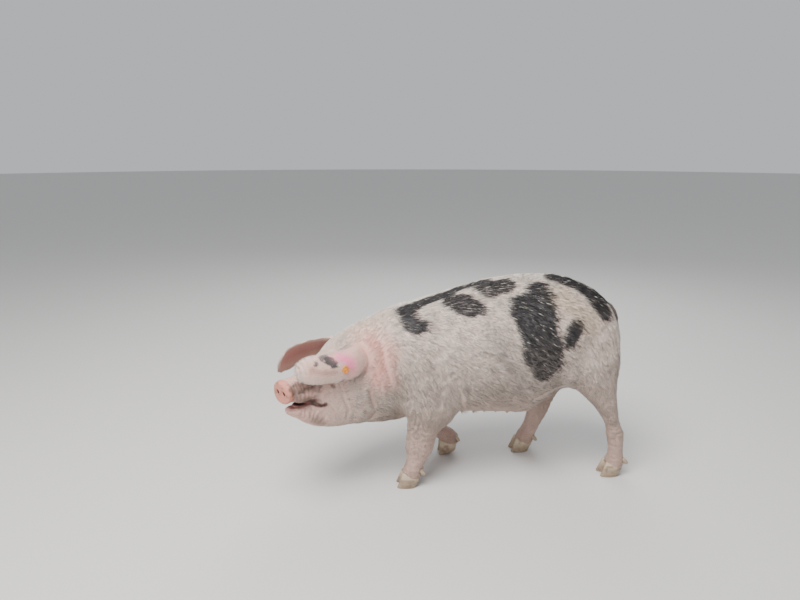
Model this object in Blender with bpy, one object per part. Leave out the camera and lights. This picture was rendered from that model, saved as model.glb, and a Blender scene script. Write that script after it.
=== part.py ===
"""A Gloucestershire Old Spot sow, life size, walking with her head low and turned to her left.

Metres, +Z up. She faces -X, her left side is at -Y, and the floor is at Z = 0.
The flesh is one smooth form made from lofted masses. Thin cuts then part it into head, neck, torso and legs.
"""

import math

import bmesh
import bpy
import numpy as np
from mathutils import Matrix, Vector
from mathutils.bvhtree import BVHTree

# Driving sizes of the animal
BACK_HEIGHT = 0.896
BELLY_HEIGHT = 0.292
BARREL_HALF_WIDTH = 0.236
HEAD_LENGTH = 0.372
HEAD_YAW = math.radians(40)
POLL = (-0.41, -0.055)
EYE_RADIUS = 0.0125
TEATS_PER_SIDE = 7
LEFT, RIGHT = -1, 1

# Where the design's own origin lies from the middle of the finished animal
TO_CENTRE = Vector((-0.035, 0.0456, 0.0))

# Gaps between neighbours, and the fineness of the flesh
GAP = 0.0003
VOXEL = 0.0045
FINE_SMOOTHING = 8
BROAD_SMOOTHING = 150

# Share of the flesh's faces that each region keeps
TORSO_DETAIL = 0.0150
LIMB_DETAIL = 0.021
HEAD_DETAIL = 0.038


def clear_scene():
    for obj in list(bpy.data.objects):
        bpy.data.objects.remove(obj, do_unlink=True)


def material(name, colour, roughness):
    made = bpy.data.materials.new(name)
    made.use_nodes = True
    shader = made.node_tree.nodes["Principled BSDF"]
    shader.inputs["Base Color"].default_value = (*colour, 1.0)
    shader.inputs["Roughness"].default_value = roughness
    shader.inputs["Metallic"].default_value = 0.0
    return made


def linked(name, mesh):
    obj = bpy.data.objects.new(name, mesh)
    bpy.context.scene.collection.objects.link(obj)
    return obj


def object_from(name, verts, faces):
    """A mesh object from points and faces, with its faces turned outwards."""
    shape = bmesh.new()
    corners = [shape.verts.new(v) for v in verts]
    for face in faces:
        shape.faces.new([corners[i] for i in face])
    bmesh.ops.recalc_face_normals(shape, faces=shape.faces)
    if shape.calc_volume(signed=True) < 0:
        bmesh.ops.reverse_faces(shape, faces=shape.faces)
    mesh = bpy.data.meshes.new(name)
    shape.to_mesh(mesh)
    shape.free()
    return linked(name, mesh)


def apply_modifiers(obj):
    bpy.context.view_layer.update()
    graph = bpy.context.evaluated_depsgraph_get()
    finished = bpy.data.meshes.new_from_object(obj.evaluated_get(graph))
    obj.modifiers.clear()
    obj.data = finished
    return obj


def remove(*objects):
    for obj in objects:
        bpy.data.objects.remove(obj, do_unlink=True)


def smooth_rows(rows, steps):
    """Rows along a smooth curve through the given rows, with `steps` of them to each gap."""
    given = np.array(rows, float)
    line = np.vstack([2 * given[0] - given[1], given, 2 * given[-1] - given[-2]])
    found = []
    for i in range(1, len(line) - 2):
        before, here, after, beyond = line[i - 1 : i + 3]
        for t in np.arange(steps) / steps:
            bend = (after - before) * t
            bend += (2 * before - 5 * here + 4 * after - beyond) * t**2
            bend += (3 * here - before - 3 * after + beyond) * t**3
            found.append(here + bend / 2)
    found.append(line[-2])
    return np.array(found)


def loft(name, rows, side=(0, 1, 0), above=(0, 0, 1), sides=40, steps=4, power=2.2, upright=False):
    """A closed tube through rows of (x, y, z, half height, half width, egg).

    The half width lies along `side` and the half height towards `above`.
    A positive egg makes the lower half of a ring wider than its upper half, and upright rings stand plumb.
    """
    path = smooth_rows(rows, steps)
    tangents = np.gradient(path[:, :3], axis=0)
    if upright:
        tangents[:, 2] = 0
    verts, faces = [], []
    for (x, y, z, high, wide, egg), tangent in zip(path, tangents):
        along = Vector(tangent).normalized()
        across = Vector(side)
        across = (across - along * across.dot(along)).normalized()
        up = across.cross(along).normalized()
        if up.dot(Vector(above)) < 0:
            up.negate()
        for k in range(sides):
            turn = 2 * math.pi * k / sides
            c, s = math.cos(turn), math.sin(turn)
            rise = math.copysign(abs(c) ** (2 / power), c)
            reach = math.copysign(abs(s) ** (2 / power), s) * (1 - egg * rise)
            verts.append(Vector((x, y, z)) + up * (high * rise) + across * (wide * reach))
    rings = len(path)
    for i in range(rings - 1):
        for k in range(sides):
            j = (k + 1) % sides
            faces.append((i * sides + k, i * sides + j, (i + 1) * sides + j, (i + 1) * sides + k))
    faces.append(tuple(range(sides)))
    faces.append(tuple(range((rings - 1) * sides, rings * sides)))
    return object_from(name, verts, faces)


def mass(name, centre, radii, tilt=(0, 0, 0), segments=28):
    """An ellipsoid of flesh, turned by `tilt` in degrees about X, Y and Z."""
    shape = bmesh.new()
    bmesh.ops.create_uvsphere(shape, u_segments=segments, v_segments=segments * 5 // 8, radius=1.0)
    turn = Matrix.Rotation(math.radians(tilt[2]), 4, "Z")
    turn = turn @ Matrix.Rotation(math.radians(tilt[1]), 4, "Y")
    turn = turn @ Matrix.Rotation(math.radians(tilt[0]), 4, "X")
    place = Matrix.Translation(centre) @ turn @ Matrix.Diagonal((*radii, 1))
    bmesh.ops.transform(shape, matrix=place, verts=shape.verts)
    mesh = bpy.data.meshes.new(name)
    shape.to_mesh(mesh)
    shape.free()
    return linked(name, mesh)


# The head's own axes: ahead of the poll, and towards the animal's left
AHEAD = Vector((-math.cos(HEAD_YAW), -math.sin(HEAD_YAW), 0))
LEFTWARD = Vector((math.sin(HEAD_YAW), -math.cos(HEAD_YAW), 0))
UPWARD = Vector((0, 0, 1))


def head_point(forward, lateral, height):
    """A point of the head: ahead of the poll, towards the left, and above the floor."""
    return Vector((*POLL, height)) + AHEAD * forward + LEFTWARD * lateral


def head_loft(name, rows, power=2.2):
    """A loft along the head, through rows of (forward, top, bottom, half width, egg)."""
    placed = []
    for forward, top, bottom, wide, egg in rows:
        placed.append((*head_point(forward, 0, (top + bottom) / 2), (top - bottom) / 2, wide, egg))
    return loft(name, placed, side=LEFTWARD, power=power, upright=True)


# Along the body: x, top, bottom, half width, egg
TORSO_ROWS = [
    (-0.33, 0.728, 0.310, 0.152, 0.00),
    (-0.25, 0.760, 0.290, 0.186, 0.04),
    (-0.14, 0.788, 0.302, 0.212, 0.06),
    (-0.03, 0.819, 0.302, BARREL_HALF_WIDTH - 0.010, 0.08),
    (0.08, 0.850, 0.300, BARREL_HALF_WIDTH - 0.002, 0.09),
    (0.19, 0.877, BELLY_HEIGHT, BARREL_HALF_WIDTH + 0.002, 0.09),
    (0.30, BACK_HEIGHT - 0.004, BELLY_HEIGHT, BARREL_HALF_WIDTH, 0.07),
    (0.38, BACK_HEIGHT, 0.318, 0.232, 0.05),
    (0.46, 0.889, 0.372, 0.222, 0.02),
    (0.54, 0.870, 0.425, 0.208, 0.02),
    (0.62, 0.832, 0.462, 0.186, 0.02),
    (0.68, 0.786, 0.500, 0.150, 0.02),
    (0.724, 0.728, 0.540, 0.100, 0.00),
    (0.747, 0.668, 0.580, 0.042, 0.00),
]

# Along the neck: x, y, top, bottom, half width
NECK_ROWS = [
    (-0.14, 0.000, 0.768, 0.300, 0.192),
    (-0.22, -0.004, 0.758, 0.266, 0.184),
    (-0.30, -0.016, 0.737, 0.260, 0.174),
    (-0.37, -0.036, 0.714, 0.266, 0.162),
    (-0.43, -0.065, 0.688, 0.280, 0.148),
]

# Along the head: forward of the poll, top, bottom, half width, egg
SKULL_ROWS = [
    (-0.08, 0.706, 0.296, 0.150, 0.06),
    (-0.02, 0.699, 0.290, 0.152, 0.12),
    (0.04, 0.684, 0.290, 0.148, 0.16),
    (0.09, 0.663, 0.296, 0.140, 0.18),
    (0.14, 0.628, 0.304, 0.124, 0.18),
    (0.185, 0.604, 0.326, 0.104, 0.14),
    (0.225, 0.582, 0.360, 0.082, 0.08),
    (0.255, 0.566, 0.400, 0.060, 0.04),
]
MUZZLE_ROWS = [
    (0.12, 0.600, 0.420, 0.098, 0.10),
    (0.18, 0.590, 0.428, 0.086, 0.12),
    (0.23, 0.574, 0.440, 0.068, 0.16),
    (0.27, 0.562, 0.452, 0.056, 0.20),
    (0.31, 0.557, 0.459, 0.049, 0.18),
    (0.345, 0.556, 0.465, 0.045, 0.08),
]
JAW_ROWS = [
    (0.10, 0.440, 0.298, 0.120, 0.06),
    (0.16, 0.440, 0.304, 0.100, 0.06),
    (0.21, 0.438, 0.318, 0.078, 0.04),
    (0.25, 0.436, 0.337, 0.059, 0.00),
    (0.285, 0.436, 0.362, 0.045, -0.05),
    (0.313, 0.438, 0.388, 0.038, -0.06),
    (0.334, 0.438, 0.402, 0.033, -0.06),
    (0.347, 0.434, 0.409, 0.024, 0.00),
]

# The flesh inside the mouth, which the parted lips show
MOUTH_ROWS = [
    (0.16, 0.500, 0.400, 0.070, 0.00),
    (0.23, 0.490, 0.405, 0.044, 0.00),
    (0.27, 0.490, 0.400, 0.026, 0.00),
    (0.292, 0.490, 0.395, 0.014, 0.00),
]

# The disc at the end of the snout: forward, height of its middle, half height, half width
DISC_ROWS = [
    (0.322, 0.5185, 0.038, 0.042),
    (0.346, 0.5135, 0.040, 0.0445),
    (0.353, 0.5120, 0.0455, 0.0515),
    (0.366, 0.5090, 0.0465, 0.0525),
    (0.3735, 0.5075, 0.042, 0.048),
]

# Down each leg: x, height, distance from the midline, half length, half width
FORE_NEAR_ROWS = [
    (-0.105, 0.600, 0.125, 0.105, 0.070),
    (-0.098, 0.500, 0.138, 0.124, 0.082),
    (-0.094, 0.400, 0.148, 0.125, 0.080),
    (-0.100, 0.358, 0.150, 0.119, 0.076),
    (-0.110, 0.322, 0.150, 0.100, 0.067),
    (-0.121, 0.286, 0.149, 0.079, 0.058),
    (-0.131, 0.240, 0.148, 0.065, 0.053),
    (-0.141, 0.175, 0.147, 0.061, 0.051),
    (-0.150, 0.135, 0.145, 0.047, 0.043),
    (-0.161, 0.098, 0.145, 0.040, 0.040),
    (-0.168, 0.072, 0.145, 0.043, 0.044),
    (-0.176, 0.042, 0.145, 0.042, 0.042),
    (-0.180, 0.015, 0.145, 0.042, 0.042),
]
FORE_FAR_ROWS = [
    (-0.105, 0.600, 0.125, 0.105, 0.070),
    (-0.088, 0.500, 0.138, 0.120, 0.082),
    (-0.072, 0.400, 0.146, 0.112, 0.078),
    (-0.068, 0.340, 0.145, 0.098, 0.072),
    (-0.066, 0.290, 0.142, 0.074, 0.061),
    (-0.062, 0.240, 0.138, 0.054, 0.052),
    (-0.052, 0.190, 0.134, 0.049, 0.048),
    (-0.030, 0.142, 0.130, 0.040, 0.041),
    (0.000, 0.108, 0.128, 0.038, 0.040),
    (0.032, 0.082, 0.126, 0.043, 0.045),
    (0.044, 0.050, 0.126, 0.042, 0.042),
    (0.044, 0.020, 0.126, 0.042, 0.042),
]
HIND_NEAR_ROWS = [
    (0.600, 0.640, 0.095, 0.125, 0.085),
    (0.612, 0.545, 0.112, 0.122, 0.094),
    (0.622, 0.485, 0.122, 0.110, 0.086),
    (0.638, 0.435, 0.126, 0.092, 0.074),
    (0.660, 0.385, 0.128, 0.068, 0.061),
    (0.682, 0.335, 0.129, 0.049, 0.051),
    (0.702, 0.285, 0.130, 0.036, 0.041),
    (0.720, 0.236, 0.130, 0.032, 0.036),
    (0.732, 0.196, 0.130, 0.037, 0.037),
    (0.739, 0.150, 0.130, 0.033, 0.034),
    (0.744, 0.105, 0.130, 0.034, 0.036),
    (0.744, 0.072, 0.130, 0.041, 0.042),
    (0.734, 0.040, 0.130, 0.042, 0.043),
    (0.730, 0.015, 0.130, 0.041, 0.041),
]
HIND_FAR_ROWS = [
    (0.600, 0.640, 0.095, 0.125, 0.085),
    (0.584, 0.545, 0.112, 0.126, 0.092),
    (0.558, 0.465, 0.122, 0.104, 0.082),
    (0.530, 0.400, 0.126, 0.088, 0.068),
    (0.500, 0.330, 0.127, 0.067, 0.054),
    (0.478, 0.270, 0.127, 0.055, 0.046),
    (0.464, 0.220, 0.126, 0.053, 0.041),
    (0.452, 0.180, 0.126, 0.045, 0.038),
    (0.434, 0.130, 0.125, 0.037, 0.035),
    (0.420, 0.096, 0.125, 0.038, 0.037),
    (0.408, 0.070, 0.125, 0.043, 0.042),
    (0.396, 0.040, 0.125, 0.042, 0.043),
    (0.392, 0.015, 0.125, 0.041, 0.041),
]

# Each leg's rows, side, the box that takes it off the torso and the toe's pitch in degrees
# The box: front and rear x at its top, then below the floor, its inner y, its inner and outer height
LEGS = {
    "foreleg_left": (FORE_NEAR_ROWS, LEFT, (-0.250, 0.040, -0.30, 0.02, 0.015, 0.290, 0.440), 0),
    "foreleg_right": (FORE_FAR_ROWS, RIGHT, (-0.210, 0.050, -0.21, 0.16, 0.015, 0.290, 0.440), 17),
    "hindleg_left": (HIND_NEAR_ROWS, LEFT, (0.500, 0.900, 0.52, 0.90, 0.020, 0.400, 0.490), 0),
    "hindleg_right": (HIND_FAR_ROWS, RIGHT, (0.440, 0.900, 0.26, 0.80, 0.020, 0.390, 0.480), 0),
}


def torso_form():
    rows = [(x, 0, (t + b) / 2, (t - b) / 2, w, egg) for x, t, b, w, egg in TORSO_ROWS]
    return loft("torso_form", rows, power=2.35, upright=True)


def neck_form():
    rows = [(x, y, (t + b) / 2, (t - b) / 2, w, 0.06) for x, y, t, b, w in NECK_ROWS]
    return loft("neck_form", rows, upright=True)


def disc_form():
    rows = [(*head_point(forward, 0, z), high, wide, 0.04) for forward, z, high, wide in DISC_ROWS]
    return loft("disc_form", rows, side=LEFTWARD, steps=3)


def leg_form(name, rows, side):
    placed = [(x, side * y, z, long, wide, 0) for x, z, y, long, wide in rows]
    return loft(name + "_form", placed, above=(-1, 0, 0), sides=24, power=2.1)


def body_masses():
    """The shoulders, hams, flanks, glands, cheeks and brows, which swell out of the lofts."""
    yaw = math.degrees(HEAD_YAW)
    made = []
    for side in (LEFT, RIGHT):
        made += [
            mass("shoulder", (-0.085, side * 0.116, 0.555), (0.155, 0.102, 0.205), (0, -12, 0)),
            mass("ham", (0.588, side * 0.096, 0.580), (0.146, 0.108, 0.190), (0, 4, 0)),
            mass("flank", (0.495, side * 0.146, 0.505), (0.120, 0.062, 0.075), (0, 24, 0)),
            mass("gland", (0.310, side * 0.066, 0.334), (0.098, 0.060, 0.044), (0, -4, 0)),
            mass("front_gland", (0.150, side * 0.066, 0.341), (0.130, 0.054, 0.040), (0, 0, 0)),
            mass("cheek", head_point(0.050, -side * 0.080, 0.410), (0.100, 0.070, 0.108), (0, 0, yaw)),
            mass("jaw_muscle", head_point(0.140, -side * 0.066, 0.440), (0.080, 0.050, 0.080), (0, 0, yaw)),
            mass("brow", head_point(0.165, -side * 0.056, 0.566), (0.050, 0.030, 0.024), (0, 20, yaw)),
            mass("flew", head_point(0.290, -side * 0.034, 0.480), (0.050, 0.020, 0.026), (0, 0, yaw)),
        ]
    return made


def broadly(height, forward):
    """How far the broad smoothing reaches: fully on the trunk, not on the lower legs and the face."""
    down = (height - 0.28) / 0.12
    back = (0.20 - forward) / 0.16
    return max(0.0, min(1.0, down, back))


def whole_flesh():
    """Every form fused into one closed surface, with its junctions smoothed into fillets."""
    forms = [torso_form(), neck_form(), disc_form()]
    forms.append(head_loft("skull_form", SKULL_ROWS))
    forms.append(head_loft("muzzle_form", MUZZLE_ROWS))
    forms.append(head_loft("jaw_form", JAW_ROWS))
    forms.append(head_loft("mouth_form", MOUTH_ROWS))
    forms += [leg_form(name, leg[0], leg[1]) for name, leg in LEGS.items()]
    forms += body_masses()
    joined = bmesh.new()
    for form in forms:
        joined.from_mesh(form.data)
    mesh = bpy.data.meshes.new("flesh")
    joined.to_mesh(mesh)
    joined.free()
    remove(*forms)
    flesh = linked("flesh", mesh)
    fuse = flesh.modifiers.new("fuse", "REMESH")
    fuse.mode = "VOXEL"
    fuse.voxel_size = VOXEL
    apply_modifiers(flesh)
    group = flesh.vertex_groups.new(name="trunk")
    levels = {}
    for vertex in flesh.data.vertices:
        ahead = (vertex.co - Vector((*POLL, 0))).dot(AHEAD)
        share = round(broadly(vertex.co.z, ahead), 1)
        levels.setdefault(share, []).append(vertex.index)
    for share, members in levels.items():
        group.add(members, share, "REPLACE")
    settle = flesh.modifiers.new("settle", "SMOOTH")
    settle.factor = 0.5
    settle.iterations = BROAD_SMOOTHING
    settle.vertex_group = group.name
    relax = flesh.modifiers.new("relax", "SMOOTH")
    relax.factor = 0.5
    relax.iterations = FINE_SMOOTHING
    return apply_modifiers(flesh)


def thinned(flesh, share):
    """A copy of the flesh with that share of its faces."""
    copy = linked("thinned", flesh.data.copy())
    fewer = copy.modifiers.new("fewer", "DECIMATE")
    fewer.ratio = share
    return apply_modifiers(copy)


def block(name, lengths, place):
    """A box of these lengths, with the middle of its top face at the origin of `place`."""
    shape = bmesh.new()
    bmesh.ops.create_cube(shape, size=1.0)
    sized = Matrix.Diagonal((*lengths, 1)) @ Matrix.Translation((0, 0, -0.5))
    bmesh.ops.transform(shape, matrix=place @ sized, verts=shape.verts)
    mesh = bpy.data.meshes.new(name)
    shape.to_mesh(mesh)
    shape.free()
    return linked(name, mesh)


def combine(target, other, operation):
    """The target with one Boolean applied, after which the other object is removed."""
    cut = target.modifiers.new(operation.lower(), "BOOLEAN")
    cut.operation = operation
    cut.solver = "MANIFOLD"
    cut.object = other
    apply_modifiers(target)
    remove(other)
    return target


def united(name, pieces):
    """One closed body from overlapping pieces, by one Boolean union on their collection."""
    first, others = pieces[0], pieces[1:]
    group = bpy.data.collections.new(name + "_pieces")
    for piece in others:
        bpy.context.scene.collection.objects.unlink(piece)
        group.objects.link(piece)
    bpy.context.scene.collection.children.link(group)
    join = first.modifiers.new("join", "BOOLEAN")
    join.operation = "UNION"
    join.solver = "MANIFOLD"
    join.operand_type = "COLLECTION"
    join.collection = group
    apply_modifiers(first)
    remove(*others)
    bpy.data.collections.remove(group)
    first.name = name
    return first


def keep_largest(obj):
    """Drops every closed surface of the mesh but the one with the most faces."""
    shape = bmesh.new()
    shape.from_mesh(obj.data)
    unseen = set(shape.faces)
    islands = []
    while unseen:
        stack = [unseen.pop()]
        island = set(stack)
        while stack:
            for edge in stack.pop().edges:
                for face in edge.link_faces:
                    if face in unseen:
                        unseen.remove(face)
                        island.add(face)
                        stack.append(face)
        islands.append(island)
    if len(islands) > 1:
        best = max(islands, key=len)
        bmesh.ops.delete(shape, geom=[f for f in shape.faces if f not in best], context="FACES")
        shape.to_mesh(obj.data)
    shape.free()
    return obj


def finish(obj, name, colour):
    """Names the node, keeps its one body, shades it and moves it to the middle of the frame."""
    keep_largest(obj)
    obj.name = name
    obj.data.name = name
    obj.data.materials.clear()
    obj.data.materials.append(colour)
    obj.data.shade_smooth()
    obj.data.set_sharp_from_angle(angle=math.radians(50))
    obj.location = TO_CENTRE
    return obj


def swollen(obj, by):
    """A copy of a solid whose surface lies that much further out."""
    copy = linked("swollen", obj.data.copy())
    moves = [vertex.co + vertex.normal * by for vertex in copy.data.vertices]
    for vertex, place in zip(copy.data.vertices, moves):
        vertex.co = place
    return copy


def leg_box(side, box, gap):
    """The box that takes a leg off the torso, drawn in by the gap. Its sloping top is the parting plane."""
    front_top, rear_top, front_low, rear_low, inner, inner_z, outer_z = box
    near, outer, below = side * (inner + gap), side * 0.34, -0.05
    verts = [
        (front_low + gap, near, below),
        (rear_low - gap, near, below),
        (rear_low - gap, outer, below),
        (front_low + gap, outer, below),
        (front_top + gap, near, inner_z - gap),
        (rear_top - gap, near, inner_z - gap),
        (rear_top - gap, outer, outer_z - gap),
        (front_top + gap, outer, outer_z - gap),
    ]
    faces = [(0, 1, 2, 3), (4, 5, 6, 7), (1, 2, 6), (1, 6, 5), (0, 3, 7), (0, 7, 4), (0, 1, 5), (0, 5, 4)]
    faces += [(3, 2, 6), (3, 6, 7)]
    return object_from("leg_box", verts, faces)


def neck_block(gap):
    """The block ahead of the plane between torso and neck."""
    face = Matrix.Translation((-0.262 - gap, 0, 0.52)) @ Matrix.Rotation(math.radians(85), 4, "Y")
    return block("neck_block", (0.56, 1.2, 0.9), face)


def head_block(gap):
    """The block ahead of the plane between neck and head."""
    turn = Matrix.Rotation(HEAD_YAW * 0.85, 4, "Z") @ Matrix.Rotation(math.radians(88), 4, "Y")
    place = Matrix.Translation(Vector((-0.385, -0.045, 0.50)) + AHEAD * gap)
    return block("head_block", (1.2, 1.2, 0.9), place @ turn)


def snout_block(gap):
    """The block ahead of the plane where the snout's disc begins."""
    turn = Matrix.Rotation(HEAD_YAW, 4, "Z") @ Matrix.Rotation(math.radians(78), 4, "Y")
    place = Matrix.Translation(head_point(HEAD_LENGTH - 0.024 + gap, 0, 0.512))
    return block("snout_block", (0.125, 0.4, 0.2), place @ turn)


def tube(name, points, radii, sides=8):
    """A round tube through points, closed at both ends."""
    path = np.array([tuple(v) for v in points])
    tangents = np.gradient(path, axis=0)
    lean = Vector((0.31, 0.87, 0.38))
    verts, faces = [], []
    for place, tangent, radius in zip(path, tangents, radii):
        along = Vector(tangent).normalized()
        across = (lean - along * lean.dot(along)).normalized()
        up = along.cross(across)
        for k in range(sides):
            turn = 2 * math.pi * k / sides
            verts.append(Vector(place) + (across * math.cos(turn) + up * math.sin(turn)) * radius)
    rings = len(path)
    for i in range(rings - 1):
        for k in range(sides):
            j = (k + 1) % sides
            faces.append((i * sides + k, i * sides + j, (i + 1) * sides + j, (i + 1) * sides + k))
    faces.append(tuple(range(sides)))
    faces.append(tuple(range((rings - 1) * sides, rings * sides)))
    return object_from(name, verts, faces)


# The ear's middle line: forward, out to the side and height
# Then its half breadth, the depth of its cup, its half thickness and its lean
EAR_ROWS = [
    (0.004, 0.070, 0.622, 0.030, 0.000, 0.0160, 1.20),
    (0.036, 0.094, 0.617, 0.044, 0.004, 0.0125, 1.05),
    (0.072, 0.116, 0.610, 0.053, 0.012, 0.0090, 0.85),
    (0.118, 0.131, 0.604, 0.058, 0.021, 0.0065, 0.68),
    (0.170, 0.133, 0.602, 0.059, 0.026, 0.0055, 0.58),
    (0.222, 0.121, 0.602, 0.057, 0.026, 0.0050, 0.52),
    (0.270, 0.101, 0.604, 0.057, 0.021, 0.0045, 0.50),
    (0.308, 0.080, 0.602, 0.050, 0.014, 0.0042, 0.50),
    (0.332, 0.064, 0.598, 0.034, 0.007, 0.0040, 0.50),
]
EAR_ACROSS = 9
EAR_STATIONS = 16


def ear_frame(side, along):
    """At `along` rows down the ear: its middle, its outward, its breadthwise directions and its sizes."""
    rows = smooth_rows(EAR_ROWS, 8)
    at = min(along * 8, len(rows) - 1.001)
    low = int(at)
    row = rows[low] + (rows[low + 1] - rows[low]) * (at - low)
    run = rows[low + 1] - rows[max(low - 1, 0)]
    ahead = (AHEAD * run[0] + LEFTWARD * (-side * run[1]) + UPWARD * run[2]).normalized()
    breadth = (UPWARD - LEFTWARD * (-side * row[6])).normalized()
    breadth = (breadth - ahead * breadth.dot(ahead)).normalized()
    out = ahead.cross(breadth)
    if out.dot(LEFTWARD * -side) < 0:
        out.negate()
    middle = head_point(row[0], -side * row[1], row[2])
    return middle, out, breadth, row[3], row[4], row[5]


def ear_point(side, along, across, depth):
    """A point of the ear: rows down its length, -1 to 1 from edge to edge, depth in half thicknesses."""
    middle, out, breadth, half, cup, thick = ear_frame(side, along)
    curl = 1 - across * across
    edge = max(0.0, 1 - abs(across) ** 4)
    fold = cup * (curl - 0.55) + 0.30 * cup * across
    return middle + breadth * (half * across) + out * (fold + thick * depth * (0.35 + 0.65 * edge))


def ear(side):
    """A lop ear that hangs forward along the face, cupped towards it."""
    stations = np.linspace(0, len(EAR_ROWS) - 1, EAR_STATIONS)
    verts, faces = [], []
    ring = []
    for k in range(EAR_ACROSS + 1):
        ring.append((math.sin((k / EAR_ACROSS - 0.5) * math.pi), 1.0))
    for k in range(EAR_ACROSS - 1, 0, -1):
        ring.append((math.sin((k / EAR_ACROSS - 0.5) * math.pi), -1.0))
    for along in stations:
        verts += [ear_point(side, along, across, depth) for across, depth in ring]
    size = len(ring)
    for i in range(len(stations) - 1):
        for k in range(size):
            j = (k + 1) % size
            faces.append((i * size + k, i * size + j, (i + 1) * size + j, (i + 1) * size + k))
    last = (len(stations) - 1) * size
    faces.append(tuple(range(size)))
    tip = len(verts)
    middle = sum((verts[last + k] for k in range(size)), Vector()) / size
    ahead = (middle - sum((verts[last - size + k] for k in range(size)), Vector()) / size).normalized()
    verts.append(middle + ahead * 0.010)
    faces += [(last + k, last + (k + 1) % size, tip) for k in range(size)]
    return object_from("ear", verts, faces)


# The eye: forward and height of its middle, how deep it sits, and where it looks in the head's axes
EYE_PLACE = (0.196, 0.528)
EYE_SINK = 0.0065
EYE_LOOK = (0.40, 0.88, 0.16)


def eye_frame(head_tree, side):
    """The eye's middle, the way it looks, and the line from its rear to its front corner."""
    out = (AHEAD * EYE_LOOK[0] + LEFTWARD * (-side * EYE_LOOK[1]) + UPWARD * EYE_LOOK[2]).normalized()
    aim = head_point(EYE_PLACE[0], -side * 0.03, EYE_PLACE[1])
    hit = head_tree.ray_cast(aim + out * 0.3, -out)[0]
    corner_line = (AHEAD - UPWARD * 0.35)
    corner_line = (corner_line - out * corner_line.dot(out)).normalized()
    return hit - out * EYE_SINK, out, corner_line


def lid(frame, sign):
    """A lid that lies over the ball from corner to corner. The sign is 1 for the upper one."""
    centre, out, corner_line = frame
    up = out.cross(corner_line)
    if up.z < 0:
        up.negate()
    points, radii = [], []
    for k in range(11):
        swing = math.radians(-78 + 156 * k / 10)
        lift = math.radians(sign * (30 if sign > 0 else 26)) * math.cos(swing * 90 / 84)
        lift -= math.radians(6)
        direction = out * math.cos(lift) * math.cos(swing) + corner_line * math.cos(lift) * math.sin(swing)
        direction += up * math.sin(lift)
        points.append(centre + direction * (EYE_RADIUS + 0.0014))
        radii.append(0.0030 + 0.0016 * math.cos(swing))
    return tube("lid", points, radii)


def make_head(head):
    """The head with lids drawn over the sockets, and the two eyes."""
    corners = [vertex.co for vertex in head.data.vertices]
    tree = BVHTree.FromPolygons(corners, [face.vertices for face in head.data.polygons])
    eyes = []
    lids = []
    sockets = []
    for side in (LEFT, RIGHT):
        frame = eye_frame(tree, side)
        lids += [lid(frame, 1), lid(frame, -1)]
        eyes.append(mass("eye", frame[0], (EYE_RADIUS,) * 3, segments=16))
        sockets.append(mass("socket", frame[0], (EYE_RADIUS + 2 * GAP,) * 3, segments=16))
    head = united("head", [head] + lids)
    for socket in sockets:
        combine(head, socket, "DIFFERENCE")
    return head, eyes


def make_snout(snout):
    """The disc with its two nostrils."""
    for side in (LEFT, RIGHT):
        place = head_point(HEAD_LENGTH + 0.002, -side * 0.0195, 0.511)
        pit = mass("nostril", place, (0.016, 0.0068, 0.0098), (0, 12, math.degrees(HEAD_YAW)), segments=14)
        combine(snout, pit, "DIFFERENCE")
    return snout


def teats():
    """Two rows of teats along the belly."""
    made = []
    for side in (LEFT, RIGHT):
        for k in range(TEATS_PER_SIDE):
            x = 0.055 + 0.300 * k / (TEATS_PER_SIDE - 1)
            y = side * (0.066 + 0.006 * math.sin(2 * k))
            root = Vector((x, y, 0.306))
            tip = root + Vector((0.002, side * 0.006, -0.021 - 0.003 * (k > 3)))
            points = [root, root.lerp(tip, 0.55), root.lerp(tip, 0.88), tip]
            made.append(tube("teat", points, (0.012, 0.0082, 0.0068, 0.0036), sides=7))
    return made


# Down the tail: x, y, height, radius
TAIL_ROWS = [
    (0.672, 0.000, 0.762, 0.019),
    (0.712, 0.001, 0.744, 0.0175),
    (0.741, 0.003, 0.704, 0.0150),
    (0.757, 0.005, 0.650, 0.0125),
    (0.763, 0.003, 0.590, 0.0105),
    (0.763, -0.002, 0.530, 0.0088),
    (0.762, -0.006, 0.480, 0.0074),
    (0.763, -0.006, 0.452, 0.0055),
]
TAIL_LOCKS = 7

# Down a lock of bristle: its distance from the tail's middle, half width and half thickness
LOCK_STEPS = (
    (0.0020, 0.0045, 0.0020),
    (0.0085, 0.0042, 0.0016),
    (0.0110, 0.0030, 0.0012),
    (0.0095, 0.0006, 0.0005),
)


def tail():
    """The hanging tail, with flat locks of bristle round its end."""
    rows = smooth_rows(TAIL_ROWS, 2)
    core = tube("tail_core", [row[:3] for row in rows], [row[3] for row in rows], sides=9)
    pieces = [core]
    for k in range(TAIL_LOCKS):
        turn = 2 * math.pi * k / TAIL_LOCKS
        high = 0.515 - 0.030 * (k % 3)
        out = Vector((math.cos(turn), math.sin(turn), 0))
        flat = Vector((-out.y, out.x, 0))
        root = Vector((TAIL_ROWS[-2][0], TAIL_ROWS[-2][1], high))
        length = 0.085 + 0.012 * (k % 2)
        verts, faces = [], []
        for step, (reach, half, thick) in enumerate(LOCK_STEPS):
            place = root + out * reach - UPWARD * (length * step / 3)
            for u, v in ((-1, -1), (1, -1), (1, 1), (-1, 1)):
                verts.append(place + flat * (half * u) + out * (thick * v))
            if step:
                low = 4 * step
                for i, j in ((0, 1), (1, 2), (2, 3), (3, 0)):
                    faces.append((low - 4 + i, low - 4 + j, low + j, low + i))
        faces += [(0, 1, 2, 3), (12, 13, 14, 15)]
        pieces.append(object_from("lock", verts, faces))
    return united("tail", pieces)


# A foot: the coronet's height at its middle, its rise towards the toe, and the toe's distance ahead
CORONET = 0.046
CORONET_RISE = 0.32
TOE_AHEAD = 0.062
FLAT_DEPTH = 0.003


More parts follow.
